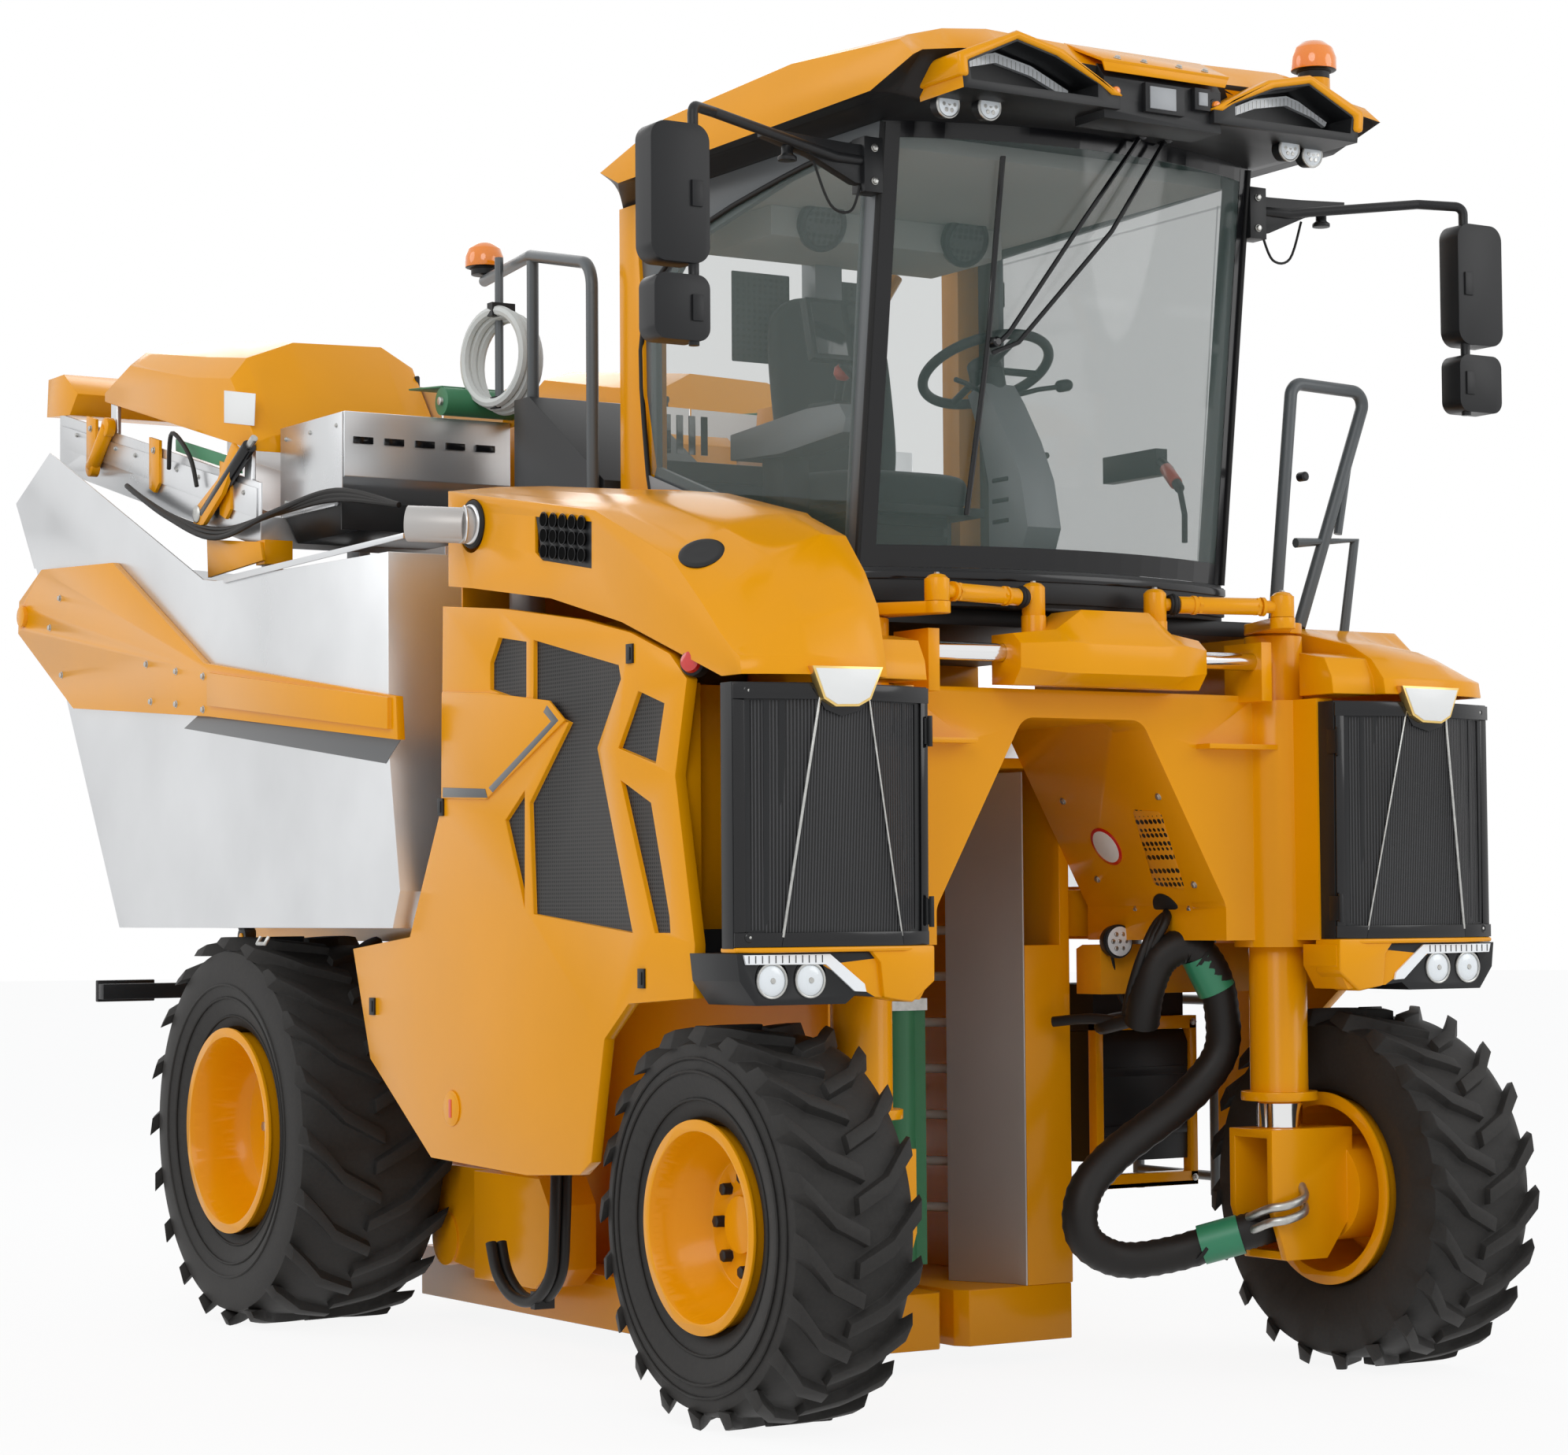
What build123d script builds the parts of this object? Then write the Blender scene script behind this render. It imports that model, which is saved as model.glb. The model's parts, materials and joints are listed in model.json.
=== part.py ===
from build123d import *
import os

# Straddle grape harvester, in millimetres.
# +Z is up, -Y is forward and +X is the machine's left side. The ground is at Z = 0.
# Names that end in _Y are distances behind the front axle, and back() turns one into a Y.
# Each paired piece is drawn on the left side and mirrored to the right.

# Overall layout
WHEELBASE = 2905
FRONT_AXLE_Y = -2165
SIDE_X = 1260
GAP = 0.3
SWING_GAP = 6

# Front wheels
FRONT_R = 520
FRONT_TYRE_W = 380
FRONT_RIM_R = 262
FRONT_TRACK_X = 1055
FRONT_DISC_IN = 180

# Rear wheels
REAR_R = 630
REAR_TYRE_W = 540
REAR_RIM_R = 318
REAR_TRACK_X = 1030
REAR_DISC_IN = 240

# Tyre lugs
LUG_H = 32
LUG_COUNT = 20
LUG_FOOT_W = 62
LUG_TIP_W = 40
LUG_OVERLAP = 14

# Front legs, which turn to steer
LEG_X = 720
LEG_TUBE_R = 83
LEG_SHAFT_R = 62
LEG_BORE_R = LEG_SHAFT_R + GAP
LEG_TUBE_BOTTOM = 780
LEG_FLANGE_R = 110
LEG_FLANGE_T = 26
FORK_TOP = 701
FORK_BOTTOM = 330
FORK_HALF_Y = 95
FORK_PLATE_T = 24
MOTOR_R = 150
STEER_ARM_Z = 2120
STEER_ARM_T = 32
BALL_X = 594
BALL_Y = -192
BALL_R = 36
TIE_INNER_X = 210
TIE_INNER_Y = -100
TIE_R = 24
TIE_LIFT = 30
SLIDE_ROD_Z = 2030
SLIDE_ROD_R = 25
SLIDE_END_X = 575
SLIDE_COVER_X = 320
SLIDE_COVER_FRONT = 150
SLIDE_COVER_REAR = 45

# Portal frame
BEAM_IN_X = 610
BEAM_OUT_X = 740
BEAM_BOTTOM = 1240
BEAM_TOP = 1400
LEG_BOSS_R = 123
BEAM_FRONT_Y = LEG_BOSS_R + GAP
BEAM_REAR_Y = 3900
ARCH_TOP_X = 205
ARCH_TOP_Z = 1860
ARCH_LOW_X = 500
ARCH_LOW_Z = 1340
ARCH_BEND_R = 60
PORTAL_TOP = 2114
PORTAL_PLATE_TOP = 1938
LEG_BOSS_TOP = 1925
PORTAL_Y = -40
PORTAL_T = 150
PORTAL_LIP = 60
GUSSET_T = 14
GUSSET_Z = 1783
CROSS_YS = (1500, 3300)
CROSS_W = 120
CROSS_H = 140
PLATFORM_Z = 2120
PLATFORM_T = 45
PLATFORM_FRONT_Y = 110
PLATFORM_REAR_Y = 2030
FAN_BOX_IN_X = 260
FAN_BOX_OUT_X = 680
FAN_BOX_FRONT_Y = 1450
FAN_BOX_LOW_TOP = 2644
FAN_BOX_TOP = 2960

# Rear legs and arms
REAR_LEG_Y = 1780
REAR_LEG_W = 240
REAR_ARM_IN_X = 636
REAR_ARM_OUT_X = 742
ARM_PIVOT_Z = 430
ARM_HALF_H = 95
ARM_CAP_T = 30
ARM_BOX_OUT_X = 800
ARM_BOX_FRONT_Y = 1600
ARM_BOX_REAR_Y = 2090
ARM_BOX_BOTTOM = 190
ARM_BOSS_Y = 2395
ARM_BOSS_Z = 290
ARM_BOSS_R = 88

# Hoods and front panels
HOOD_IN_X = 696
HOOD_BODY_X = 850
HOOD_OUT_X = 1262
HOOD_FRONT_Y = -280
HOOD_BROW_Y = -345
HOOD_LOW_Z = 1935
HOOD_REAR_Y = 1344
HOOD_TOP_Z = 2594
HOOD_SIDE_DROP = 34
LEFT_DECK_Z = 2150
WALL_T = 10
GRILLE_BOTTOM = 1240
GRILLE_TOP = 1915
GRILLE_T = 60
GRILLE_PROW = 55
GRILLE_OVERHANG = 24
GRILLE_FRAME = 46
GRILLE_RIB_PITCH = 40
GRILLE_RIB_W = 14
GRILLE_MESH_DEPTH = 8
LAMP_TOP = 1228
LAMP_BOTTOM = 1096
LAMP_R = 45
LAMP_XS = (1068, 1183)
LAMP_Z = 1165
CORNER_Y = 130
CORNER_T = 60

# Side doors
DOOR_T = 34
DOOR_HINGE_Y = 20
LEFT_DOOR_TOP = 1930
LEFT_DOOR_REAR_Y = 900
WINDOW_DEPTH = 14
ARROW_T = 8

# Engine and exhaust
ENGINE_FRONT_Y = 330
ENGINE_REAR_Y = 1280
ENGINE_TOP = 1995
EXHAUST_Y = 1194
EXHAUST_Z = 2450
EXHAUST_R = 52
EXHAUST_HOLE_R = 78
EXHAUST_OUT = 150

# Cab
CAB_HALF = 640
CAB_FLOOR_Z = PLATFORM_Z + PLATFORM_T + GAP
CAB_FLOOR_T = 104
CAB_TOP_Z = 3470
CAB_FRONT_Y = 130
CAB_LEAN = 147
CAB_REAR_Y = 1400
CAB_SILL_RISE = 370
CAB_WALL_TOP = 2650
CAB_WALL_T = 20
GLASS_T = 8
GLASS_BULGE = 150
PILLAR_W = 46
PILLAR_D = 60
POST_W = 100
POST_D = 200
ROOF_HALF = 800
EAR_FRONT_Y = -450
EAR_DEPTH = 120
VISOR_Y = -430
BEACON_PAD_TOP = 3690
BEACON_X = 690
BEACON_Y = -250
REAR_BEACON_X = 425
REAR_BEACON_Y = 2720
REAR_BEACON_Z = 3470

# Bins
BIN_IN_X = 762
BIN_OUT_X = 1296
BIN_T = 6
BIN_BOTTOM = 1290
BIN_FRONT_Y = 1675
BIN_FRONT_TOP = 2417
BIN_FOLD_Z = 1828
BIN_TOE_Y = 1600
BIN_TOE_Z = 1400
BIN_TOE_RUN = 50
BIN_NOTCH_Y = 2971
BIN_NOTCH_Z = 2434
BIN_REAR_TOP_Y = 4654
BIN_REAR_TOP = 2647
BIN_REAR_LOW_Y = 3809
BIN_RIM_W = 26
PLATE_APEX_Y = 4497
PLATE_APEX_Z = 3031
PLATE_TAIL_Y = 4849
PLATE_TAIL_Z = 2878
HINGE_Y = 4690
HINGE_Z = 2440
HINGE_R = 38
ARM_T = 26
ARM_RIDGE_T = 14
CYL_X = 709
CYL_FOOT_Y = 4050
CYL_FOOT_Z = 1250
CYL_EYE_Y = 4180
CYL_EYE_Z = 2140
CYL_R = 30
CYL_ROD_R = 18
CYL_PIN_R = 15
CYL_EYE_R = 30
POST_T = 52

# Sorting tables above the bins, which slope up to the rear
SORT_IN_X = 500
SORT_OUT_X = 1180
SORT_FRONT_Y = 2870
SORT_REAR_Y = 4700
SORT_RIM_Z = 2757
SORT_SLOPE = 0.246
SORT_H = 215
SORT_T = 8
HOPPER_OUT_X = 1100
HOPPER_FRONT_Y = 2395
HOPPER_BOTTOM = 2643
HOPPER_TOP = 2943
LID_LIFT = 100
LID_FRONT_Y = 2900
LID_REAR_Y = 4250
LID_OUTER_H = 150
LID_INNER_H = 235

# Picking head
HEAD_FRONT_Y = 610
HEAD_REAR_Y = 2860
HEAD_WALL_IN = 395
HEAD_WALL_T = 35
HEAD_WALL_TOP = 1750
HEAD_POST_W = 130
HEAD_POST_TOP = 1226
FOOT_IN_X = 24
FOOT_OUT_X = 600
FOOT_BOTTOM = 62
FOOT_TOP = 225
FOOT_NOSE_X = 424
FOOT_NOSE_Y = 1250
ELEVATOR_IN_X = 150
ELEVATOR_OUT_X = 390
ELEVATOR_D = 230
ELEVATOR_TOP = 2960
ELEVATOR_HEAD_Y = 2420
SHAKER_X = 320
SHAKER_Y = 900
SHAKER_R = 38
ROD_R = 14
ROD_COUNT = 8
ROD_FIRST_Z = 430
ROD_PITCH = 140
ROD_SPAN = 1400
ROD_REACH_X = 75
PLATE_NEAR_X = 255
PLATE_FAR_X = 160
PLATE_RUN = 260
PLATE_T = 6
PLATE_TOP = 1740

# Rails, ladder, mirrors and beacons
RAIL_R = 19
LADDER_Y = 950
LADDER_W = 400
LADDER_X = 1257
LADDER_LOW = 420
RUNG_COUNT = 6
MIRROR_ARM_X = 740
MIRROR_ROD_X = 1328
MIRROR_ROD_Y = -172
MIRROR_ROD_R = 14
BEACON_R = 65


def back(distance):
    """Y of a point that lies this far behind the front axle."""
    return FRONT_AXLE_Y + distance


def save(shape, node):
    """Label one finished piece and write it."""
    shape.label = node
    export_step(shape, f"parts/{node}.step")


def save_pair(piece, node):
    """Write a left piece and its mirror image on the right."""
    save(piece.part, node + "_left")
    save(mirror(piece.part, about=Plane.YZ), node + "_right")


def side_plane(x):
    """Plane at this X whose sketch axes are Y and Z."""
    return Plane(origin=(x, 0, 0), x_dir=(0, 1, 0), z_dir=(1, 0, 0))


def front_plane(y):
    """Plane at this Y, facing forward, whose sketch axes are X and Z."""
    return Plane(origin=(0, y, 0), x_dir=(1, 0, 0), z_dir=(0, -1, 0))


def outline_on(plane, points):
    """Closed sketch through these points of a plane."""
    with BuildSketch(plane) as outline:
        with BuildLine():
            Polyline(*points, close=True)
        make_face()
    return outline.sketch


def block(x0, x1, y0, y1, z0, z1, mode=Mode.ADD):
    """Box between two corners."""
    with Locations(((x0 + x1) / 2, (y0 + y1) / 2, (z0 + z1) / 2)):
        Box(abs(x1 - x0), abs(y1 - y0), abs(z1 - z0), mode=mode)


def side_prism(x0, x1, points, mode=Mode.ADD):
    """Side outline, as (distance behind the front axle, Z) points, filled from x0 to x1."""
    outline = outline_on(side_plane(min(x0, x1)), [(back(p), z) for p, z in points])
    extrude(outline, amount=abs(x1 - x0), mode=mode)


def front_prism(y0, y1, points, mode=Mode.ADD):
    """Front outline, as (X, Z) points, filled from y0 back to y1."""
    extrude(outline_on(front_plane(y1), points), amount=y1 - y0, mode=mode)


def top_prism(z0, z1, points, mode=Mode.ADD):
    """Plan outline, as (X, distance behind the front axle) points, filled from z0 up to z1."""
    outline = outline_on(Plane.XY.offset(z0), [(x, back(p)) for x, p in points])
    extrude(outline, amount=z1 - z0, mode=mode)


def side_loft(sections, mode=Mode.ADD):
    """Skin over side outlines, given as (X, points) with as many points in each."""
    faces = [outline_on(side_plane(x), [(back(p), z) for p, z in points]) for x, points in sections]
    loft(sections=faces, ruled=True, mode=mode)


def top_loft(sections, mode=Mode.ADD):
    """Skin over plan outlines, given as (Z, points) with as many points in each."""
    faces = [outline_on(Plane.XY.offset(z), [(x, back(p)) for x, p in points]) for z, points in sections]
    loft(sections=faces, ruled=True, mode=mode)


def rod(start, end, radius, mode=Mode.ADD):
    """Round bar between two points."""
    way = Vector(*end) - Vector(*start)
    with BuildSketch(Plane(origin=start, z_dir=way.normalized())) as section:
        Circle(radius)
    extrude(section.sketch, amount=way.length, mode=mode)


def tube_path(points, bend, radius):
    """Round tube along straight runs with rounded bends."""
    with BuildLine() as way:
        FilletPolyline(*points, radius=bend)
    path = way.wires()[0]
    with BuildSketch(Plane(origin=path @ 0, z_dir=path % 0)) as section:
        Circle(radius)
    sweep(section.sketch, path=path)


os.makedirs("parts", exist_ok=True)
FRONT_Y = back(0)
REAR_Y = back(WHEELBASE)


# Wheels
def axle_plane(x, y, z):
    """Plane through a wheel's centre: sketch X runs outward along the axle, sketch Y is the radius."""
    return Plane(origin=(x, y, z), x_dir=(1, 0, 0), z_dir=(0, -1, 0))


def tyre(x, y, radius, width, rim_radius):
    """Tyre with slanted lugs that meet in turn at its middle."""
    half = width / 2
    shoulder = radius - LUG_H
    belly = rim_radius + 0.55 * (shoulder - rim_radius)
    with BuildPart() as lug:
        foot = shoulder - LUG_H
        slant = half * 0.75
        for z, w, spread in ((foot, LUG_FOOT_W, 1.0), (radius + 2, LUG_TIP_W, 0.86)):
            with BuildSketch(Plane.XY.offset(z)):
                with BuildLine():
                    Polyline(
                        (-LUG_OVERLAP, -w / 2), (half * 0.45, slant * 0.35 - w / 2),
                        (half * spread, slant - w / 2), (half * spread, slant + w / 2),
                        (half * 0.45, slant * 0.35 + w / 2), (-LUG_OVERLAP, w / 2), close=True)
                make_face()
        loft(ruled=True)
    inner_lug = mirror(lug.part, about=Plane.YZ)
    pitch = 360 / LUG_COUNT
    with BuildPart() as piece:
        with BuildSketch(axle_plane(x, y, radius)):
            with BuildLine():
                Polyline(
                    (-half * 0.62, rim_radius), (-half * 0.8, rim_radius + 22), (-half * 0.97, belly),
                    (-half * 0.92, shoulder - LUG_H / 2), (-half * 0.72, shoulder), (0, shoulder + LUG_H / 4),
                    (half * 0.72, shoulder), (half * 0.92, shoulder - LUG_H / 2), (half * 0.97, belly),
                    (half * 0.8, rim_radius + 22), (half * 0.62, rim_radius), close=True)
            make_face()
        revolve(axis=Axis((x, y, radius), (1, 0, 0)))
        for shape, phase in ((lug.part, 0), (inner_lug, pitch / 2)):
            turns = [Location((x, y, radius), (pitch * index + phase, 0, 0)) for index in range(LUG_COUNT)]
            with Locations(*turns):
                add(shape)
        with Locations(Location((x, y, radius), (0, 90, 0))):
            Cylinder(radius, 2 * width, mode=Mode.INTERSECT)
    return piece


def rim(x, y, centre_z, width, rim_radius, disc_x, hub_radius, stud_count):
    """Deep dished rim: flanges, a barrel inside the tyre and a disc bolted to its carrier."""
    half = width / 2 * 0.94
    seat = rim_radius - GAP
    disc = disc_x - x
    with BuildPart() as piece:
        with BuildSketch(axle_plane(x, y, centre_z)):
            with BuildLine():
                Polyline(
                    (-half, seat - 22), (-half, seat + 16), (-half + 10, seat + 16), (-half + 16, seat),
                    (half - 16, seat), (half - 10, seat + 16), (half, seat + 16), (half, seat - 14),
                    (half - 60, seat - 32), (disc + 70, seat - 52), (disc + 34, seat - 74),
                    (disc + 14, hub_radius + 26), (disc + 14, 0), (disc, 0), (disc, hub_radius + 30),
                    (disc + 20, seat - 62), (disc + 56, seat - 40), (-half + 20, seat - 22), close=True)
            make_face()
        revolve(axis=Axis((x, y, centre_z), (1, 0, 0)))
        with BuildSketch(Plane(origin=(disc_x + 14, y, centre_z), x_dir=(0, 1, 0), z_dir=(1, 0, 0))):
            with PolarLocations(hub_radius * 0.82, stud_count):
                RegularPolygon(17, 6)
        extrude(amount=26)
        rod((disc_x, y, centre_z), (disc_x + 40, y, centre_z), hub_radius * 0.5)
    return piece


FRONT_DISC_X = FRONT_TRACK_X + FRONT_TYRE_W / 2 - FRONT_DISC_IN
REAR_DISC_X = REAR_TRACK_X + REAR_TYRE_W / 2 - REAR_DISC_IN
front_tyre = tyre(FRONT_TRACK_X, FRONT_Y, FRONT_R, FRONT_TYRE_W, FRONT_RIM_R)
front_rim = rim(FRONT_TRACK_X, FRONT_Y, FRONT_R, FRONT_TYRE_W, FRONT_RIM_R, FRONT_DISC_X, MOTOR_R, 8)
rear_tyre = tyre(REAR_TRACK_X, REAR_Y, REAR_R, REAR_TYRE_W, REAR_RIM_R)
rear_rim = rim(REAR_TRACK_X, REAR_Y, REAR_R, REAR_TYRE_W, REAR_RIM_R, REAR_DISC_X, MOTOR_R, 10)
save_pair(front_tyre, "front_tyre")
save_pair(front_rim, "front_rim")
save_pair(rear_tyre, "rear_tyre")
save_pair(rear_rim, "rear_rim")

# Front leg housings: tubes that the steering shafts turn in
with BuildPart() as leg_housing:
    rod((LEG_X, FRONT_Y, LEG_TUBE_BOTTOM), (LEG_X, FRONT_Y, PORTAL_TOP), LEG_TUBE_R)
    rod((LEG_X, FRONT_Y, LEG_TUBE_BOTTOM), (LEG_X, FRONT_Y, LEG_TUBE_BOTTOM + LEG_FLANGE_T),
        LEG_FLANGE_R)
    rod((LEG_X, FRONT_Y, LEG_TUBE_BOTTOM), (LEG_X, FRONT_Y, PORTAL_TOP), LEG_BORE_R,
        mode=Mode.SUBTRACT)
    mirror(about=Plane.YZ)
save(leg_housing.part, "leg_housings")

# Forks: shaft, a box of two cheek plates round the top of the wheel, wheel motor and steering arm
MOTOR_END_X = FRONT_DISC_X - GAP
FORK_IN_X = LEG_X - 110
FORK_OUT_X = LEG_X + 190
FORK_CHEEK = [
    (FORK_IN_X, FORK_TOP), (FORK_OUT_X, FORK_TOP), (FORK_OUT_X, FRONT_R - 60),
    (LEG_X + 90, FORK_BOTTOM), (LEG_X - 60, FORK_BOTTOM), (FORK_IN_X, FRONT_R - 40)]
with BuildPart() as fork:
    rod((LEG_X, FRONT_Y, FORK_TOP), (LEG_X, FRONT_Y, STEER_ARM_Z), LEG_SHAFT_R)
    for y0 in (FRONT_Y - FORK_HALF_Y, FRONT_Y + FORK_HALF_Y - FORK_PLATE_T):
        front_prism(y0, y0 + FORK_PLATE_T, FORK_CHEEK)
    block(FORK_IN_X, FORK_OUT_X, FRONT_Y - FORK_HALF_Y, FRONT_Y + FORK_HALF_Y,
          FORK_TOP - FORK_PLATE_T, FORK_TOP)
    block(LEG_X - 60, LEG_X + 90, FRONT_Y - FORK_HALF_Y, FRONT_Y + FORK_HALF_Y,
          FORK_BOTTOM, FORK_BOTTOM + FORK_PLATE_T)
    rod((LEG_X + 40, FRONT_Y, FRONT_R), (FORK_OUT_X, FRONT_Y, FRONT_R), MOTOR_R * 0.6)
    rod((FORK_OUT_X - FORK_PLATE_T, FRONT_Y, FRONT_R), (MOTOR_END_X, FRONT_Y, FRONT_R), MOTOR_R)
    rod((LEG_X, FRONT_Y, STEER_ARM_Z), (LEG_X, FRONT_Y, STEER_ARM_Z + STEER_ARM_T), LEG_TUBE_R)
    with BuildSketch(Plane.XY.offset(STEER_ARM_Z)):
        with BuildLine():
            Polyline((LEG_X + 55, FRONT_Y), (LEG_X - 70, FRONT_Y + 40),
                     (BALL_X - BALL_R, FRONT_Y + BALL_Y), (BALL_X + BALL_R, FRONT_Y + BALL_Y), close=True)
        make_face()
        with Locations((BALL_X, FRONT_Y + BALL_Y)):
            Circle(BALL_R)
    extrude(amount=STEER_ARM_T)
save_pair(fork, "fork")

# Steering: a cylinder that slides on a fixed through rod, with a tie rod to each arm
ROD_AXIS_Y = FRONT_Y + TIE_INNER_Y
TIE_Z = STEER_ARM_Z + STEER_ARM_T + TIE_LIFT
TIE_SEAT_Z = TIE_Z - 2 * TIE_R
with BuildPart() as steer_rod:
    rod((-SLIDE_END_X, ROD_AXIS_Y, SLIDE_ROD_Z), (SLIDE_END_X, ROD_AXIS_Y, SLIDE_ROD_Z), SLIDE_ROD_R)
save(steer_rod.part, "steer_through_rod")


def cover_outline(front, low, shoulder, top):
    """Side outline of the steering cover: how far it stands in front of the rod, and its three heights."""
    nose = TIE_INNER_Y - front
    tail = TIE_INNER_Y + SLIDE_COVER_REAR
    return [(nose, SLIDE_ROD_Z + low), (nose, SLIDE_ROD_Z + shoulder), (nose + front * 0.4, SLIDE_ROD_Z + top),
            (tail, SLIDE_ROD_Z + top), (tail, SLIDE_ROD_Z - 85), (nose + front * 0.4, SLIDE_ROD_Z - 90)]


# Columns: share of the cover's half width, then cover_outline's four sizes
COVER_SECTIONS = (
    (-1.0, 90, -45, 20, 50), (-0.62, 145, -60, 25, 62), (-0.36, SLIDE_COVER_FRONT, -60, 20, 118),
    (0.36, SLIDE_COVER_FRONT, -60, 20, 118), (0.62, 145, -60, 25, 62), (1.0, 90, -45, 20, 50))
with BuildPart() as steer_cover:
    side_loft([(share * SLIDE_COVER_X, cover_outline(*sizes)) for share, *sizes in COVER_SECTIONS])
    for side in (-1, 1):
        rod((side * TIE_INNER_X, ROD_AXIS_Y, SLIDE_ROD_Z), (side * TIE_INNER_X, ROD_AXIS_Y, TIE_SEAT_Z), 34)
    rod((-SLIDE_COVER_X, ROD_AXIS_Y, SLIDE_ROD_Z), (SLIDE_COVER_X, ROD_AXIS_Y, SLIDE_ROD_Z),
        SLIDE_ROD_R + 1, mode=Mode.SUBTRACT)
save(steer_cover.part, "steer_cover")

with BuildPart() as tie_rod:
    rod((TIE_INNER_X, ROD_AXIS_Y, TIE_Z), (BALL_X, FRONT_Y + BALL_Y, TIE_Z), TIE_R * 0.75)
    inner_end = Vector(TIE_INNER_X, ROD_AXIS_Y, TIE_Z)
    reach = Vector(BALL_X, FRONT_Y + BALL_Y, TIE_Z) - inner_end
    sleeve_start = inner_end + reach * 0.18
    sleeve_end = inner_end + reach * 0.8
    rod((sleeve_start.X, sleeve_start.Y, TIE_Z), (sleeve_end.X, sleeve_end.Y, TIE_Z), TIE_R)
    rod((TIE_INNER_X, ROD_AXIS_Y, TIE_SEAT_Z + GAP), (TIE_INNER_X, ROD_AXIS_Y, TIE_Z + TIE_LIFT), 32)
    rod((BALL_X, FRONT_Y + BALL_Y, STEER_ARM_Z + STEER_ARM_T + 1),
        (BALL_X, FRONT_Y + BALL_Y, TIE_Z + TIE_LIFT), 34)
save_pair(tie_rod, "tie_rod")

# Front portal: an arched plate between the legs, with a hood of slanted panels behind it
ARCH = [
    (ARCH_LOW_X, BEAM_BOTTOM), (ARCH_LOW_X, ARCH_LOW_Z), (ARCH_TOP_X, ARCH_TOP_Z),
    (-ARCH_TOP_X, ARCH_TOP_Z), (-ARCH_LOW_X, ARCH_LOW_Z), (-ARCH_LOW_X, BEAM_BOTTOM)]
ARCH_OUT = [(x + 14 * (1 if x > 0 else -1), z + (14 if z == ARCH_TOP_Z else 0)) for x, z in ARCH]
PORTAL_FRONT = back(PORTAL_Y)
PORTAL_REAR = PORTAL_FRONT + PORTAL_T
with BuildPart() as portal:
    front_prism(PORTAL_FRONT, PORTAL_REAR, [
        (-LEG_X, PORTAL_PLATE_TOP), (LEG_X, PORTAL_PLATE_TOP), (LEG_X, BEAM_BOTTOM),
        (-LEG_X, BEAM_BOTTOM)])
    with BuildSketch(front_plane(PORTAL_REAR + 1)) as arch:
        with BuildLine():
            FilletPolyline(
                (ARCH_LOW_X, BEAM_BOTTOM - 200), (ARCH_LOW_X, ARCH_LOW_Z), (ARCH_TOP_X, ARCH_TOP_Z),
                (-ARCH_TOP_X, ARCH_TOP_Z), (-ARCH_LOW_X, ARCH_LOW_Z), (-ARCH_LOW_X, BEAM_BOTTOM - 200),
                radius=ARCH_BEND_R)
            Line((-ARCH_LOW_X, BEAM_BOTTOM - 200), (ARCH_LOW_X, BEAM_BOTTOM - 200))
        make_face()
    extrude(arch.sketch, amount=PORTAL_T + 2, mode=Mode.SUBTRACT)
    front_prism(PORTAL_REAR, back(HEAD_FRONT_Y) - GAP, ARCH_OUT)
    front_prism(PORTAL_REAR, back(HEAD_FRONT_Y), ARCH, mode=Mode.SUBTRACT)
    for side in (-1, 1):
        rod((side * LEG_X, FRONT_Y, BEAM_BOTTOM - 20), (side * LEG_X, FRONT_Y, LEG_BOSS_TOP), LEG_BOSS_R)
        block(side * (ARCH_LOW_X - 100), side * LEG_X, PORTAL_FRONT - PORTAL_LIP, PORTAL_FRONT,
              GUSSET_Z, GUSSET_Z + GUSSET_T)
        block(side * (LEG_X - 30), side * (LEG_X + 30), back(HOOD_FRONT_Y) + GRILLE_T + GAP,
              FRONT_Y - 100, GRILLE_BOTTOM, LEG_BOSS_TOP)
        rod((side * LEG_X, FRONT_Y, BEAM_BOTTOM - 21), (side * LEG_X, FRONT_Y, PORTAL_TOP),
            LEG_TUBE_R + GAP, mode=Mode.SUBTRACT)
        block(side * (SLIDE_END_X - 20), side * (SLIDE_END_X + 16), ROD_AXIS_Y - 45, PORTAL_FRONT + 60,
              PORTAL_PLATE_TOP - 20, SLIDE_ROD_Z + 55)
    rod((-SLIDE_END_X, ROD_AXIS_Y, SLIDE_ROD_Z), (SLIDE_END_X, ROD_AXIS_Y, SLIDE_ROD_Z), SLIDE_ROD_R,
        mode=Mode.SUBTRACT)
save(portal.part, "front_portal")

# Main beams with cross members over the row, rear legs and platform
ARM_TOP = ARM_PIVOT_Z + ARM_HALF_H
with BuildPart() as frame:
    for side in (-1, 1):
        inner, outer = side * BEAM_IN_X, side * BEAM_OUT_X
        block(inner, outer, back(BEAM_FRONT_Y), back(BEAM_REAR_Y), BEAM_BOTTOM, BEAM_TOP)
        block(inner, outer, back(REAR_LEG_Y), back(REAR_LEG_Y) + REAR_LEG_W, ARM_TOP + ARM_CAP_T, BEAM_BOTTOM)
        for cross_y in CROSS_YS:
            block(inner, outer, back(cross_y), back(cross_y) + CROSS_W, BEAM_TOP, PLATFORM_Z)
    block(-HOOD_OUT_X + 140, -BEAM_OUT_X, back(400), back(1200), BEAM_BOTTOM + 30, BEAM_TOP - GAP)
    for cross_y in CROSS_YS:
        block(-BEAM_OUT_X, BEAM_OUT_X, back(cross_y), back(cross_y) + CROSS_W,
              PLATFORM_Z - CROSS_H, PLATFORM_Z)
save(frame.part, "main_frame")

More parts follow.
